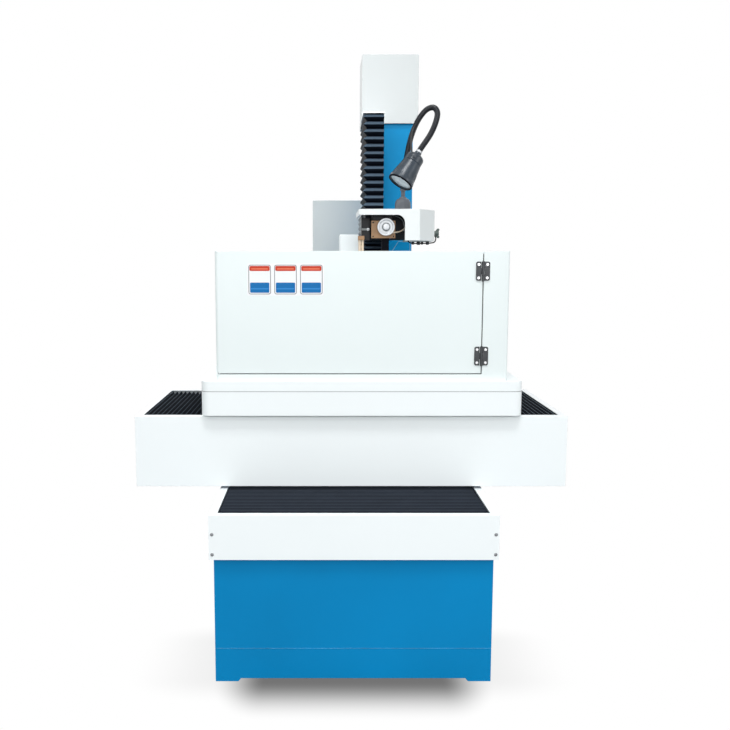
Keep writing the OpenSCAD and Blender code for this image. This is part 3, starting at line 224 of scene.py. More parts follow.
def material(name, colour, rough, metallic=0.0, grain=220.0, bump=0.06, mottle=0.04,
             patch=3.0, coat=0.0, stretch=(1, 1, 1), specular=0.5):
    """Principled material whose colour, roughness and surface vary by noise.

    grain is the scale of the fine bump, patch the scale of the slow colour change,
    mottle its strength, and stretch pulls the grain along one way, as brushing does."""
    rough_vary, glossiest, coat_rough, relief_depth = 0.06, 0.02, 0.18, 0.0006
    made = bpy.data.materials.new(name)
    made.use_nodes = True
    nodes, links = made.node_tree.nodes, made.node_tree.links
    shader = nodes["Principled BSDF"]
    shader.inputs["Metallic"].default_value = metallic
    shader.inputs["Coat Weight"].default_value = coat
    shader.inputs["Coat Roughness"].default_value = coat_rough
    shader.inputs["Specular IOR Level"].default_value = specular
    where = nodes.new("ShaderNodeTexCoord")
    scale = nodes.new("ShaderNodeMapping")
    scale.inputs["Scale"].default_value = stretch
    links.new(where.outputs["Object"], scale.inputs["Vector"])

    slow = nodes.new("ShaderNodeTexNoise")
    slow.inputs["Scale"].default_value = patch
    slow.inputs["Detail"].default_value = 4.0
    links.new(where.outputs["Object"], slow.inputs["Vector"])
    ramp = nodes.new("ShaderNodeValToRGB")
    ramp.color_ramp.elements[0].position = 0.3
    ramp.color_ramp.elements[1].position = 0.7
    ramp.color_ramp.elements[0].color = tint(colour, 1 - mottle)
    ramp.color_ramp.elements[1].color = tint(colour, 1 + mottle)
    links.new(slow.outputs["Fac"], ramp.inputs["Fac"])
    links.new(ramp.outputs["Color"], shader.inputs["Base Color"])

    fine = nodes.new("ShaderNodeTexNoise")
    fine.inputs["Scale"].default_value = grain
    fine.inputs["Detail"].default_value = 3.0
    links.new(scale.outputs["Vector"], fine.inputs["Vector"])
    spread = nodes.new("ShaderNodeMapRange")
    spread.inputs["To Min"].default_value = max(glossiest, rough - rough_vary)
    spread.inputs["To Max"].default_value = min(1.0, rough + rough_vary)
    links.new(fine.outputs["Fac"], spread.inputs["Value"])
    links.new(spread.outputs["Result"], shader.inputs["Roughness"])
    relief = nodes.new("ShaderNodeBump")
    relief.inputs["Strength"].default_value = bump
    relief.inputs["Distance"].default_value = relief_depth
    links.new(fine.outputs["Fac"], relief.inputs["Height"])
    links.new(relief.outputs["Normal"], shader.inputs["Normal"])
    return made


def pleated_cloth(name, valley, face, ridge, top_light, edge_from=0.86, edge_to=0.97):
    """Coated cloth with painted shade in its valleys and a painted highlight along its ridges.

    top_light is how much of the ridges' tone is painted on faces that look up, as light from
    above, and the ridges' highlight comes in from edge_from to edge_to of the way out of a valley."""
    dark_until, lit_from, full_top_light = 0.05, 0.45, 0.6
    made = material(name, face, 0.5, grain=1500, bump=0.3, mottle=0.25, patch=14, specular=0.04)
    nodes, links = made.node_tree.nodes, made.node_tree.links
    shader = nodes["Principled BSDF"]
    cloth = shader.inputs["Base Color"].links[0].from_socket
    where = nodes.new("ShaderNodeAttribute")
    where.attribute_name = "ridge"
    depth = nodes.new("ShaderNodeValToRGB")
    stops = depth.color_ramp.elements
    stops[0].position, stops[0].color = dark_until, (0, 0, 0, 1)
    stops[1].position, stops[1].color = lit_from, (1, 1, 1, 1)
    links.new(where.outputs["Fac"], depth.inputs["Fac"])
    # Painted shade: the valleys take the dark valley tone.
    shade = nodes.new("ShaderNodeMixRGB")
    shade.inputs["Color1"].default_value = valley + (1,)
    links.new(depth.outputs["Color"], shade.inputs["Fac"])
    links.new(cloth, shade.inputs["Color2"])
    edge = nodes.new("ShaderNodeMapRange")
    edge.inputs["From Min"].default_value = edge_from
    edge.inputs["From Max"].default_value = edge_to
    links.new(where.outputs["Fac"], edge.inputs["Value"])
    facing = nodes.new("ShaderNodeNewGeometry")
    split = nodes.new("ShaderNodeSeparateXYZ")
    links.new(facing.outputs["Normal"], split.inputs[0])
    # Painted light from above: faces that look up take on part of the ridges' pale tone.
    up = nodes.new("ShaderNodeMapRange")
    up.inputs["From Max"].default_value = full_top_light
    up.inputs["To Max"].default_value = top_light
    links.new(split.outputs["Z"], up.inputs["Value"])
    top_lit = nodes.new("ShaderNodeMath")
    top_lit.operation = "MULTIPLY"
    links.new(up.outputs["Result"], top_lit.inputs[0])
    links.new(depth.outputs["Color"], top_lit.inputs[1])
    most = nodes.new("ShaderNodeMath")
    most.operation = "MAXIMUM"
    links.new(edge.outputs["Result"], most.inputs[0])
    links.new(top_lit.outputs[0], most.inputs[1])
    # Painted highlight: the pale ridge tone laid over the cloth.
    highlighted = nodes.new("ShaderNodeMixRGB")
    highlighted.inputs["Color2"].default_value = ridge + (1,)
    links.new(most.outputs[0], highlighted.inputs["Fac"])
    links.new(shade.outputs["Color"], highlighted.inputs["Color1"])
    links.new(highlighted.outputs["Color"], shader.inputs["Base Color"])
    return made


def make_materials():
    """Every paint, metal, plastic and cloth of the model, by the name that pieces ask for."""
    m = {}
    # Copies of one white paint: cap_white and hood_white are darker, painted shade for parts that
    # get more light, and saddle_white and cover_white are lighter, painted light for parts that
    # get less.
    whites = (("white_paint", "white_powder_coat", (0.86, 0.885, 0.89), 0.15),
              ("guard_white", "guard_white", (0.78, 0.85, 0.845), 0.15),
              ("saddle_white", "saddle_white", (0.88, 0.93, 0.935), 0.0),
              ("cap_white", "cap_white", (0.555, 0.59, 0.59), 0.15),
              ("hood_white", "hood_white", (0.76, 0.795, 0.79), 0.0),
              ("cover_white", "cover_white", (0.88, 0.93, 0.93), 0.0))
    for paint, name, colour, coat in whites:
        m[paint] = material(name, colour, 0.36, grain=900, bump=0.1, mottle=0.012,
                            patch=1.6, coat=coat)
    m["blue_paint"] = material("blue_enamel", (0.001, 0.225, 0.505), 0.42, grain=420, bump=0.16,
                               mottle=0.06, patch=2.4, specular=0.12)
    # A lighter copy of the blue enamel: painted light on the column, which gets less light than
    # the bed.
    m["blue_column"] = material("blue_column", (0.003, 0.275, 0.59), 0.42, grain=420, bump=0.16,
                                mottle=0.05, patch=2.4, specular=0.12)
    m["grey_paint"] = material("grey_paint", (0.49, 0.525, 0.52), 0.42, grain=600, mottle=0.03)
    # Bellows cloths: painted shade in the valleys and painted highlights on the ridges; the
    # upright cloth also has painted light from above on faces that look up.
    m["bellows"] = pleated_cloth("bellows_cloth", (0.002, 0.003, 0.005), (0.008, 0.011, 0.018),
                                 (0.05, 0.062, 0.08), 0.0)
    m["bellows_side"] = pleated_cloth("side_cloth", (0.001, 0.002, 0.004), (0.002, 0.003, 0.007),
                                      (0.36, 0.44, 0.52), 0.0, 0.93, 0.995)
    m["bellows_upright"] = pleated_cloth("upright_cloth", (0.001, 0.002, 0.004),
                                         (0.004, 0.006, 0.011), (0.066, 0.098, 0.135), 1.0)
    m["rail_steel"] = material("ground_steel", (0.62, 0.64, 0.66), 0.3, 1.0, grain=90, bump=0.05,
                               mottle=0.05, stretch=(1, 0.06, 1))
    m["carriage_steel"] = material("machined_steel", (0.42, 0.44, 0.46), 0.4, 1.0, grain=260,
                                   bump=0.12, mottle=0.08)
    m["bright_steel"] = material("turned_steel", (0.78, 0.79, 0.8), 0.25, 0.9, grain=300,
                                 bump=0.06, mottle=0.05)
    m["wheel_silver"] = material("brushed_wheel", (0.52, 0.54, 0.56), 0.42, 0.5, grain=300,
                                 bump=0.08, mottle=0.08)
    m["screw_steel"] = material("screw_steel", (0.2, 0.21, 0.22), 0.35, 0.7, grain=500,
                                mottle=0.1)
    m["dark_hinge"] = material("dark_zinc", (0.045, 0.048, 0.052), 0.42, 0.4, grain=500,
                               bump=0.15, mottle=0.18, patch=40)
    m["brass"] = material("brass", (0.75, 0.52, 0.22), 0.3, 1.0, grain=300, mottle=0.06)
    m["brown_board"] = material("insulating_board", (0.38, 0.21, 0.10), 0.5, grain=160,
                                bump=0.2, mottle=0.18, patch=30, stretch=(0.3, 1, 2.5))
    m["cream_tube"] = material("cream_tube", (0.74, 0.6, 0.45), 0.4, grain=300, mottle=0.06)
    m["black_motor"] = material("black_paint", (0.008, 0.009, 0.012), 0.4, grain=400,
                                bump=0.15, mottle=0.3, patch=20, specular=0.22)
    m["matt_black"] = material("matt_black", (0.003, 0.004, 0.007), 0.6, grain=400, bump=0.1,
                               mottle=0.3, patch=20, specular=0.06)
    m["hose_black"] = material("hose_black", (0.006, 0.008, 0.012), 0.3, grain=900, bump=0.2,
                               mottle=0.25, patch=25, specular=0.3)
    # The lamp head's black is lifted and blued: partly its own navy, partly a painted highlight.
    m["lamp_black"] = material("lamp_black", (0.024, 0.036, 0.05), 0.27, grain=900, bump=0.2,
                               mottle=0.25, patch=25, specular=0.45)
    m["foot_grey"] = material("foot_grey", (0.105, 0.116, 0.132), 0.4, grain=700, bump=0.2,
                              mottle=0.15, patch=25, specular=0.3)
    m["lens"] = material("frosted_lens", (0.5, 0.59, 0.65), 0.25, grain=200, bump=0.25,
                         mottle=0.1, patch=60, coat=0.6)
    m["knob_plastic"] = material("knob_plastic", (0.07, 0.1, 0.09), 0.45, grain=500, mottle=0.2)
    inks = (("label_red", (0.56, 0.05, 0.02), 0.06, 0.15),
            ("label_white", (0.84, 0.86, 0.87), 0.02, 0.5),
            ("label_blue", (0.004, 0.15, 0.42), 0.06, 0.15),
            ("label_rose", (0.8, 0.2, 0.11), 0.1, 0.15),
            ("label_sky", (0.03, 0.25, 0.6), 0.1, 0.15))
    for paint, colour, mottle, specular in inks:
        m[paint] = material(paint, colour, 0.3, grain=300, mottle=mottle, specular=specular)
    m["label_edge"] = material("label_edge", (0.24, 0.24, 0.25), 0.35, grain=300, mottle=0.05)
    m["pleat_grey"] = material("pleat_grey", (0.1, 0.11, 0.12), 0.45, grain=900, bump=0.2,
                               mottle=0.2, patch=14)
    # Pale blues of the painted highlights on the column pad's edge and above the bed's groove.
    m["pale_blue"] = material("pad_highlight_blue", (0.18, 0.42, 0.62), 0.4, grain=400, mottle=0.1)
    m["bed_highlight_blue"] = material("bed_highlight_blue", (0.02, 0.285, 0.55), 0.4, grain=400, mottle=0.5,
                               patch=9)
    m["rubber"] = material("cable_rubber", (0.012, 0.012, 0.013), 0.5, grain=500, mottle=0.2)
    m["grey_tube"] = material("grey_tube", (0.2, 0.22, 0.22), 0.4, grain=300, mottle=0.1)
    return m


# ---- Building pieces ----

BED_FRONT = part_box("bed_casting")[0].y


def at(x, y, z):
    """A place in millimetres: X from the middle, Y from the bed's front face, Z from the floor."""
    return Vector((x * MM, BED_FRONT + y * MM, z * MM))


def body_of(node):
    """The body that a CAD node rides with."""
    return NODES[node]["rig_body"]


def link(name, mesh, body, paint, place=(0, 0, 0)):
    """Makes a piece of a mesh that rides with a body, in the given paint."""
    piece = bpy.data.objects.new(name, mesh)
    bpy.context.scene.collection.objects.link(piece)
    piece.location = place
    mesh.materials.clear()
    mesh.materials.append(PAINT[paint])
    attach(piece, body)
    return piece


def smooth_by_angle(mesh, degrees=32):
    """Smooths a mesh but for the edges that turn by more than the angle."""
    mesh.shade_smooth()
    mesh.set_sharp_from_angle(angle=math.radians(degrees))


def welded_copy(node, flat_within=None):
    """A node's mesh with doubled corners joined, and with faces flat within an angle merged."""
    weld = 1e-6
    mesh = NODES[node].data.copy()
    form = bmesh.new()
    form.from_mesh(mesh)
    bmesh.ops.remove_doubles(form, verts=form.verts, dist=weld)
    if flat_within:
        bmesh.ops.dissolve_limit(form, angle_limit=flat_within, verts=form.verts,
                                 edges=form.edges)
    form.to_mesh(mesh)
    form.free()
    return mesh


def dress(node, bevel):
    """Stands a finely bevelled copy of a CAD node in its place."""
    mesh = welded_copy(node, flat_within=math.radians(0.5))
    for layer in list(mesh.uv_layers):
        mesh.uv_layers.remove(layer)
    slot = SLOTS[node]
    piece = link(node + "_piece", mesh, body_of(node), TONES.get(node, slot))
    edge = piece.modifiers.new("edges", "BEVEL")
    edge.width = bevel
    edge.segments = 2
    edge.limit_method = "ANGLE"
    edge.angle_limit = BEVEL_FROM
    edge.harden_normals = True
    edge.use_clamp_overlap = True
    smooth_by_angle(mesh)
    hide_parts(node)
    return piece


def paint_node(node):
    """Paints a CAD node that stays as it is."""
    slot = SLOTS[node]
    mesh = NODES[node].data
    mesh.materials.clear()
    mesh.materials.append(PAINT[TONES.get(node, slot)])


# Nodes whose finish differs from their slot's. For the column, the cap, the hood, the wire guide
# cover, and the saddle cover, tray and Y covers, it is a lighter or darker copy of the slot's
# paint: painted light and shade.
TONES = {"lamp_foot": "foot_grey", "column_casting": "blue_column",
         "guide_wheel": "wheel_silver", "cover_screws": "screw_steel",
         "wire_guide_cover": "cover_white", "column_top_cover": "cap_white",
         "door_panel": "guard_white", "splash_guard": "guard_white",
         "saddle_front_cover": "saddle_white", "water_tray": "saddle_white",
         "tray_lip": "saddle_white", "y_front_cover": "saddle_white",
         "y_cover_left": "saddle_white", "y_cover_right": "saddle_white",
         "head_cover": "hood_white", "upper_nozzle": "matt_black"}
SLOTS = {part["node"]: part["material_slot"] for part in frame["record"]["subparts"]}
PAINT = make_materials()
# The least angle of an edge that is bevelled, and each node's bevel in millimetres.
BEVEL_FROM = math.radians(40)
BEVELS = {
    "bed_casting": 2.5, "column_casting": 3.0, "saddle_casting": 3.0, "table_casting": 2.0,
    "lower_arm": 2.5, "drum_stand": 3.0, "y_front_cover": 1.0, "y_cover_left": 1.0,
    "y_cover_right": 1.0, "saddle_front_cover": 1.1, "saddle_rear_cover": 1.1,
    "saddle_left_cover": 1.1, "saddle_right_cover": 1.1, "water_tray": 1.1, "tray_lip": 1.1,
    "splash_guard": 0.9, "door_panel": 0.9, "column_top_cover": 1.1, "wire_guide_cover": 2.5,
    "head_cover": 1.1, "upper_arm": 2.0, "drum_shield": 1.0, "worktable_frame": 1.2,
    "z_carriage": 1.0, "v_slide": 0.8, "u_slide": 0.8, "taper_motor": 1.2, "taper_plate": 0.5,
    "tube_manifold": 0.6, "upper_nozzle": 0.6, "clamp_knob": 0.5, "drum_carriage": 1.2,
    "y_carriages": 1.0, "x_carriages": 1.0,
}


def dress_all():
    """Bevels the CAD nodes that have a bevel and paints the others in place."""
    for node in NODES:
        if node in BELLOWS:
            continue
        if node in BEVELS:
            dress(node, BEVELS[node] * MM)
        else:
            paint_node(node)


# Each bellows with its fixed body, its moving body, the axis along which it folds, and
# the way along that axis from its fixed end.
BELLOWS = {
    "y_bellows_front": ("bed", "saddle", 1, 1),
    "y_bellows_rear": ("bed", "saddle", 1, -1),
    "x_bellows_left": ("saddle", "table", 0, 1),
    "x_bellows_right": ("saddle", "table", 0, -1),
    "z_bellows_top": ("bed", "z_head", 2, -1),
    "z_bellows_low": ("bed", "z_head", 2, 1),
}


def mark_ridges(mesh, axis, low, high):
    """Stores for each corner of a pleated mesh 1 on a ridge and 0 in a valley."""
    per_metre, near = 1e4, 2.0 * MM
    out_axis, outer = (1, low.y) if axis == 2 else (2, high.z)
    reach = {}
    for vert in mesh.vertices:
        step = round(vert.co[axis] * per_metre)
        away = abs(vert.co[out_axis] - outer)
        reach[step] = min(reach.get(step, away), away)
    ridge = mesh.attributes.new("ridge", "FLOAT", "POINT")
    for vert, value in zip(mesh.vertices, ridge.data):
        value.value = 1.0 if reach[round(vert.co[axis] * per_metre)] < near else 0.0


def add_bellows():
    """Cloth bellows copied from their nodes, with their ridges marked, painted by their axis and
    freed of their body.
    """
    for node, (fixed, moving, axis, way) in BELLOWS.items():
        mesh = welded_copy(node)
        low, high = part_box(node)
        mark_ridges(mesh, axis, low, high)
        paint = ("bellows_side", "bellows", "bellows_upright")[axis]
        piece = link(node + "_piece", mesh, fixed, paint)
        piece.parent = None  # link rode it with one body; here it is freed of it
        ends = [Vector(low), Vector(low)]
        ends[1][axis] = high[axis]
        if way < 0:
            ends.reverse()
        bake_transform(piece)
        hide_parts(node)


# ---- Tubes and turned parts ----

def spline(points, step):
    """Evenly spaced points of a smooth curve through the given ones, in metres."""
    parts, slack = 40, 1e-9
    knots = [Vector(point) for point in points]
    last = len(knots) - 1
    fine = []
    for i in range(last):
        a, b, c, d = knots[max(i - 1, 0)], knots[i], knots[i + 1], knots[min(i + 2, last)]
        for k in range(parts):
            t = k / parts
            fine.append(0.5 * ((2 * b) + (c - a) * t + (2 * a - 5 * b + 4 * c - d) * t * t
                               + (3 * b - a - 3 * c + d) * t * t * t))
    fine.append(knots[-1])
    length = sum((v - u).length for u, v in zip(fine, fine[1:]))
    count = max(2, round(length / step))
    even, want, run = [fine[0]], length / count, 0.0
    for u, v in zip(fine, fine[1:]):
        span = (v - u).length
        while run + span >= want * len(even) - slack and len(even) < count:
            even.append(u.lerp(v, (want * len(even) - run) / span))
        run += span
    even.append(fine[-1])
    return even


def spoke(side, other, turn):
    """The way out from an axis, turned from side towards other."""
    return math.cos(turn) * side + math.sin(turn) * other


def tube_faces(rows, sides, closed=False):
    """Faces between rows of corners round a tube, with a cap at each end unless closed."""
    faces = [(i * sides + k, i * sides + (k + 1) % sides, (i + 1) % rows * sides + (k + 1) % sides,
              (i + 1) % rows * sides + k)
             for i in range(rows if closed else rows - 1) for k in range(sides)]
    if not closed:
        faces += [tuple(range(sides - 1, -1, -1)), tuple(range((rows - 1) * sides, rows * sides))]
    return faces


def sweep(name, path, radius, sides=16, closed=False):
    """A round tube along a path; radius is a length or a list with one for each point."""
    radii = radius if isinstance(radius, (list, tuple)) else [radius] * len(path)
    verts, side = [], None
    for i, point in enumerate(path):
        before, after = max(i - 1, 0), min(i + 1, len(path) - 1)
        if closed:
            before, after = i - 1, (i + 1) % len(path)
        along = (path[after] - path[before]).normalized()
        if side is None:
            side = along.orthogonal().normalized()
        side = (side - along * side.dot(along)).normalized()
        other = along.cross(side)
        for k in range(sides):
            verts.append(point + radii[i] * spoke(side, other, math.tau * k / sides))
    mesh = make_mesh(name, verts, tube_faces(len(path), sides, closed))
    smooth_by_angle(mesh, 50)
    return mesh


def turned(name, profile, axis, place, sides=32):
    """A solid of revolution: (distance along the axis, radius) pairs swept about the axis."""
    way = Vector(axis).normalized()
    side = way.orthogonal().normalized()
    other = way.cross(side)
    verts = [Vector(place) + way * d + r * spoke(side, other, math.tau * k / sides)
             for d, r in profile for k in range(sides)]
    mesh = make_mesh(name, verts, tube_faces(len(profile), sides))
    smooth_by_angle(mesh, 35)
    return mesh


# ---- Labels ----

def rounded_outline(width, height, radius, steps):
    """Points round a rectangle with rounded corners, about its middle."""
    ring = []
    for across, up, start in ((1, -1, -90), (1, 1, 0), (-1, 1, 90), (-1, -1, 180)):
        for i in range(steps + 1):
            turn = math.radians(start + 90 * i / steps)
            ring.append((across * (width / 2 - radius) + radius * math.cos(turn),
                         up * (height / 2 - radius) + radius * math.sin(turn)))
    return ring


def rounded_plate(name, width, height, radius, thick):
    """A flat plate with rounded corners that stands upright, its face towards -Y."""
    ring = rounded_outline(width, height, radius, steps=5)
    count = len(ring)
    verts = [(x, y, z) for y in (0.0, -thick) for x, z in ring]
    faces = [tuple(range(count - 1, -1, -1)), tuple(range(count, 2 * count))]
    faces += [(i, (i + 1) % count, count + (i + 1) % count, count + i) for i in range(count)]
    mesh = make_mesh(name, verts, faces)
    form = bmesh.new()
    form.from_mesh(mesh)
    bmesh.ops.recalc_face_normals(form, faces=form.faces)
    form.to_mesh(mesh)
    form.free()
    return mesh


def add_labels():
    """Three plain colour cards on one white backing, high on the door's left side."""
    low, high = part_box("door_panel")
    face = low[1]
    film = 0.25 * MM
    left, top = low[0] + 102 * MM, high[2] - 39 * MM
    wide, tall, pitch, count = 71 * MM, 93 * MM, 81.5 * MM, 3
    margin = 4 * MM
    row = count * pitch - (pitch - wide)
    backing = rounded_plate("label_backing", row + 2 * margin, tall + 2 * margin, 5 * MM, film)
    middle_x = left + row / 2 + margin
    middle_z = top - margin - tall / 2
    link("label_backing", backing, "door", "label_white", place=(middle_x, face, middle_z))
    # Each field: paint, width share, low and high edge as shares of the card's height,
    # corner radius in millimetres and the layer it lies in.
    fields = (("label_edge", 1.0, 0.0, 1.0, 7, 1), ("label_white", 0.93, 0.025, 0.975, 5.5, 2),
              ("label_blue", 0.86, 0.055, 0.40, 3.5, 3), ("label_red", 0.9, 0.79, 0.96, 4, 3),
              ("label_sky", 0.8, 0.17, 0.21, 1, 4), ("label_rose", 0.74, 0.84, 0.88, 1, 4))
    for i in range(count):
        x = left + margin + wide / 2 + i * pitch
        for paint, share, low_edge, high_edge, radius, layer in fields:
            name = f"card_{i + 1}_{paint}"
            height = (high_edge - low_edge) * tall
            mesh = rounded_plate(name, share * wide, height, radius * MM, film)
            link(name, mesh, "door", paint, place=(
                x, face - film * layer,
                middle_z - tall / 2 + (low_edge + high_edge) / 2 * tall))


# ---- Work lamp ----

LAMP_CAP = at(237, 598, 1628)
BEAM = Vector((-0.51, -0.24, -0.82)).normalized()


def add_gooseneck():
    """The coiled arm with its fine rings, a silver collar and the lead beside it."""
    seat, straight = 6.9, 22
    end = LAMP_CAP - BEAM * seat * MM
    route = [at(200, 730, 1521.6), at(201, 730, 1560), at(212, 729, 1635), at(223, 724, 1690),
             at(236, 715, 1732), at(254, 702, 1768), at(277, 686, 1794), at(300, 668, 1798),
             at(311, 650, 1777), at(303, 635, 1740), at(283, 621, 1697),
             end - BEAM * straight * MM, end]
    coil, thin, thick = 1.45 * MM, 9.2 * MM, 10.4 * MM
    path = spline(route, coil)
    radii = [thick if i % 3 == 1 else (thick + thin) / 2 if i % 3 == 2 else thin
             for i in range(len(path))]
    piece = link("gooseneck", sweep("gooseneck", path, radii, 18), body_of("lamp_arm"),
                 "hose_black")
    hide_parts("lamp_arm")
    collar = turned("lamp_collar", [(-13 * MM, 10.2 * MM), (-13 * MM, 11.4 * MM),
                                    (-7.5 * MM, 11.4 * MM), (-6 * MM, 11 * MM)], BEAM, LAMP_CAP)
    link("lamp_collar", collar, body_of("lamp_arm"), "carriage_steel")
    lead = [at(219, 611, 1632), at(219.5, 640, 1660), at(222, 680, 1693), at(229, 704, 1722),
            at(243, 705, 1751), at(262, 694, 1775)]
    link("lamp_lead", sweep("lamp_lead", spline(lead, 6 * MM), 3.2 * MM, 12),
         body_of("lamp_arm"), "rubber")


def add_lamp_ribs():
    """Short cooling ribs round the bell, along the beam."""
    count, start, end = 40, 72 * MM, 95 * MM
    r_start, r_end, rise, half = 37.2 * MM, 40.6 * MM, 1.3 * MM, 1.1 * MM
    side = BEAM.orthogonal().normalized()
    other = BEAM.cross(side)
    verts, faces = [], []
    for i in range(count):
        out = spoke(side, other, math.tau * i / count)
        flank = BEAM.cross(out)
        first = len(verts)
        for d, radius in ((start, r_start), (end, r_end)):
            for lift, across in ((-1, -1), (-1, 1), (1, 0.6), (1, -0.6)):
                verts.append(LAMP_CAP + BEAM * d + out * (radius + lift * rise)
                             + flank * across * half)
        faces += [tuple(first + k for k in ring) for ring in (
            (3, 2, 1, 0), (4, 5, 6, 7), (0, 1, 5, 4), (1, 2, 6, 5), (2, 3, 7, 6), (3, 0, 4, 7))]
    link("lamp_ribs", make_mesh("lamp_ribs", verts, faces), body_of("lamp_head"),
         "lamp_black")


def add_lamp_lip():
    """The rounded black lip round the bell's mouth."""
    mouth, radius, thick, count = 118.6, 42.4 * MM, 3.3 * MM, 48
    middle = LAMP_CAP + BEAM * mouth * MM
    side = BEAM.orthogonal().normalized()
    other = BEAM.cross(side)
    ring = [middle + radius * spoke(side, other, math.tau * i / count) for i in range(count)]
    link("lamp_lip", sweep("lamp_lip", ring, thick, 12, closed=True), body_of("lamp_head"),
         "matt_black")


# ---- Taper head, leads and small fittings ----

def box_mesh(name, low, high):
    """A block with eased edges between two corners, for seals and straps."""
    eased = 0.2
    form = bmesh.new()
    bmesh.ops.create_cube(form, size=1.0)
    span = high - low
    for vert in form.verts:
        vert.co = Vector([c * s + (a + b) / 2
                          for c, s, a, b in zip(vert.co, span, low, high)])
    bmesh.ops.bevel(form, geom=list(form.edges), offset=min(span) * eased, segments=2,
                    affect="EDGES")
    mesh = bpy.data.meshes.new(name)
    form.to_mesh(mesh)
    form.free()
    smooth_by_angle(mesh)
    return mesh


def add_screw(name, place, axis, radius, node, paint="black_motor"):
    """A domed screw head with a round socket, standing on a face."""
    height, crown, socket = 0.6 * radius, 0.82 * radius, 0.45 * radius
    shoulder, socket_floor = 0.7 * height, 0.45 * height
    rim = [(0, radius), (shoulder, radius), (height, crown), (height, socket),
           (socket_floor, socket)]
    link(name, turned(name, rim, axis, place, 20), body_of(node), paint)


def add_head_details():
    """The taper plate's hub and four screws, and the strap and screw of its motor."""
    front = (0, -1, 0)
    hub = at(126, 534.6, 1376)
    ring = [(0, 14.5 * MM), (1.0 * MM, 14.5 * MM), (1.4 * MM, 13.8 * MM)]
    link("hub_ring", turned("hub_ring", ring, front, hub), body_of("taper_plate"), "grey_tube")
    boss = [(0, 11 * MM), (3.4 * MM, 11 * MM), (4.4 * MM, 10 * MM), (4.9 * MM, 6 * MM)]
    link("hub_boss", turned("hub_boss", boss, front, hub), body_of("taper_plate"),
         "wheel_silver")
    for i, (x, z) in enumerate(((82, 1392), (82, 1344), (153, 1344), (153, 1392))):
        add_screw(f"board_screw_{i}", at(x, 555, z), front, 2.6 * MM, "taper_plate")
    strap = box_mesh("motor_strap", at(43.5, 587.5, 1366), at(72.5, 590.5, 1373))
    link("motor_strap", strap, body_of("taper_motor"), "grey_tube")
    add_screw("motor_screw", at(66, 590, 1369.5), front, 5 * MM, "taper_motor", "carriage_steel")


# Each lead: the CAD node it moves with, its paint, its radius and its route.
LEADS = {
    "wheel_lead": ("taper_plate", "cream_tube", 2.1,
                   ((205, 612, 1384), (196, 598, 1375), (178, 562, 1362), (155, 546, 1357),
                    (146, 548, 1357))),
    "signal_lead": ("upper_arm", "grey_tube", 1.5,
                    ((196, 645, 1366), (193, 592, 1378), (186, 590, 1402), (161, 600, 1417),
                     (146, 640, 1421))),
    "knob_lead": ("head_cover", "rubber", 2.2,
                  ((304, 650, 1352), (309, 642, 1346), (310, 634, 1337), (305, 622, 1327),
                   (294, 610, 1323), (270, 592, 1321), (240, 576, 1320), (214, 572, 1322),
                   (204, 590, 1334))),
}


def add_leads():
    """The thin leads of the taper head and the hood."""
    for name, (node, paint, radius, points) in LEADS.items():
        path = spline([at(*point) for point in points], 3 * MM)
        link(name, sweep(name, path, radius * MM, 12), body_of(node), paint)


def add_side_pleats():
    """Small pleats on the carriage's left side, seen past the motor."""
    left, right, front, back = 49, 55.6, 783, 1052
    bottom, pitch, count, root = 1340, 18.5, 5, 2
    outline = [(left if i % 2 else right - root, bottom + i * pitch / 2)
               for i in range(2 * count + 1)]
    ring = outline + [(right, outline[-1][1]), (right, outline[0][1])]
    size = len(ring)
    verts = [at(x, y, z) for y in (front, back) for x, z in ring]
    faces = [tuple(range(size)), tuple(range(2 * size - 1, size - 1, -1))]
    faces += [((i + 1) % size, i, size + i, size + (i + 1) % size) for i in range(size)]
    link("side_pleats", make_mesh("side_pleats", verts, faces), body_of("z_carriage"),
         "pleat_grey")


def add_lead_clips():
    """Black clips and a small connector on the lead under the hood."""
    height, bend, taper, narrow = 1321, 240, 1.5, 0.7
    clips = ((218, 572, 9, 5.0), (236, 575, 12, 6.0), (252, 583, 8, 5.0), (271, 592, 11, 5.5))
    for i, (x, y, length, radius) in enumerate(clips):
        start = at(x, y, height)
        way = Vector((0.88, 0.47, 0.05)) if x > bend else Vector((0.99, 0.1, 0))
        ends = [(0, narrow * radius * MM), (taper * MM, radius * MM),
                ((length - taper) * MM, radius * MM), (length * MM, narrow * radius * MM)]
        link(f"lead_clip_{i}", turned(f"lead_clip_{i}", ends, way, start, 14),
             body_of("head_cover"), "rubber")


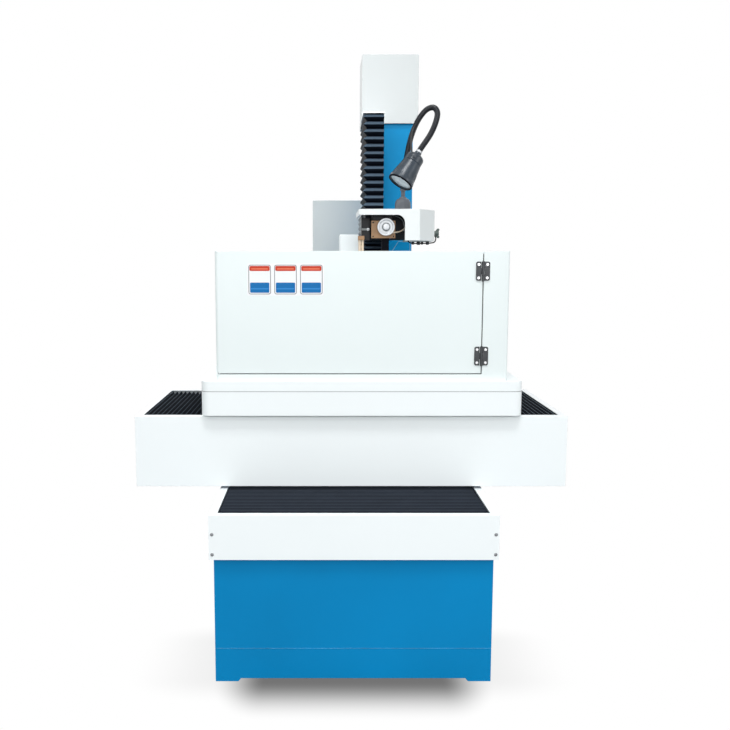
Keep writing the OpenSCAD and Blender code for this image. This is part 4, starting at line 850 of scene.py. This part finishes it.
def add_seals():
    """Painted shade as a dark ring in the seam round the tray under its lip, and black strips
    behind the door's gaps.
    """
    low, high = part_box("tray_lip")
    radius, corner = 0.9 * MM, 28 * MM
    # Painted shade: a dark ring in the seam under the tray's lip.
    loop = [Vector(((low.x + high.x) / 2 + x, (low.y + high.y) / 2 + y, low.z))
            for x, y in rounded_outline(high.x - low.x, high.y - low.y, corner, steps=10)]
    link("tray_seam_shade", sweep("tray_seam_shade", loop, radius, 8, closed=True), body_of("tray_lip"),
         "label_edge")
    door_low, door_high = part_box("door_panel")
    gap, behind, thick, lap, inset = 3 * MM, 3.4 * MM, 3 * MM, 9 * MM, 12 * MM
    face = door_low.y
    sill = box_mesh("door_sill_seal",
                    Vector((door_low.x + inset, face + behind, door_low.z - gap - lap)),
                    Vector((door_high.x + lap, face + behind + thick, door_low.z + lap)))
    link("door_sill_seal", sill, body_of("splash_guard"), "rubber")
    jamb = box_mesh("door_jamb_seal",
                    Vector((door_high.x - lap, face + behind, door_low.z - gap)),
                    Vector((door_high.x + gap + lap, face + behind + thick,
                            door_high.z - lap)))
    link("door_jamb_seal", jamb, body_of("splash_guard"), "rubber")


def add_pad_highlight():
    """Painted highlight: a pale line along the edge of the column's raised pad."""
    face, radius = 1020, 1.5 * MM
    route = [at(180, face, 1290), at(188, face, 1303), at(209.5, face, 1335.5),
             at(211, face, 1336.5), at(255, face, 1336.5), at(256, face, 1335.5),
             at(256, face, 1270)]
    link("pad_highlight", sweep("pad_highlight", route, radius, 8), body_of("column_casting"),
         "pale_blue")


def add_bed_highlight():
    """Painted highlight: a faint pale line above the groove round the bed's skirt, on the front.
    """
    low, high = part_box("bed_casting")
    groove_top, radius, inset = 105 * MM, 0.8 * MM, 4 * MM
    route = [Vector((low.x + inset, low.y, groove_top)), Vector((0, low.y, groove_top)),
             Vector((high.x - inset, low.y, groove_top))]
    link("bed_highlight", sweep("bed_highlight", route, radius, 8), body_of("bed_casting"), "bed_highlight_blue")


add_camera()
add_lights()
add_world()
add_floor()
dress_all()
add_bellows()
add_labels()
add_gooseneck()
add_lamp_ribs()
add_lamp_lip()
add_head_details()
add_leads()
add_side_pleats()
add_lead_clips()
add_seals()
add_pad_highlight()
add_bed_highlight()

scene = bpy.context.scene
scene.view_settings.view_transform = "Standard"
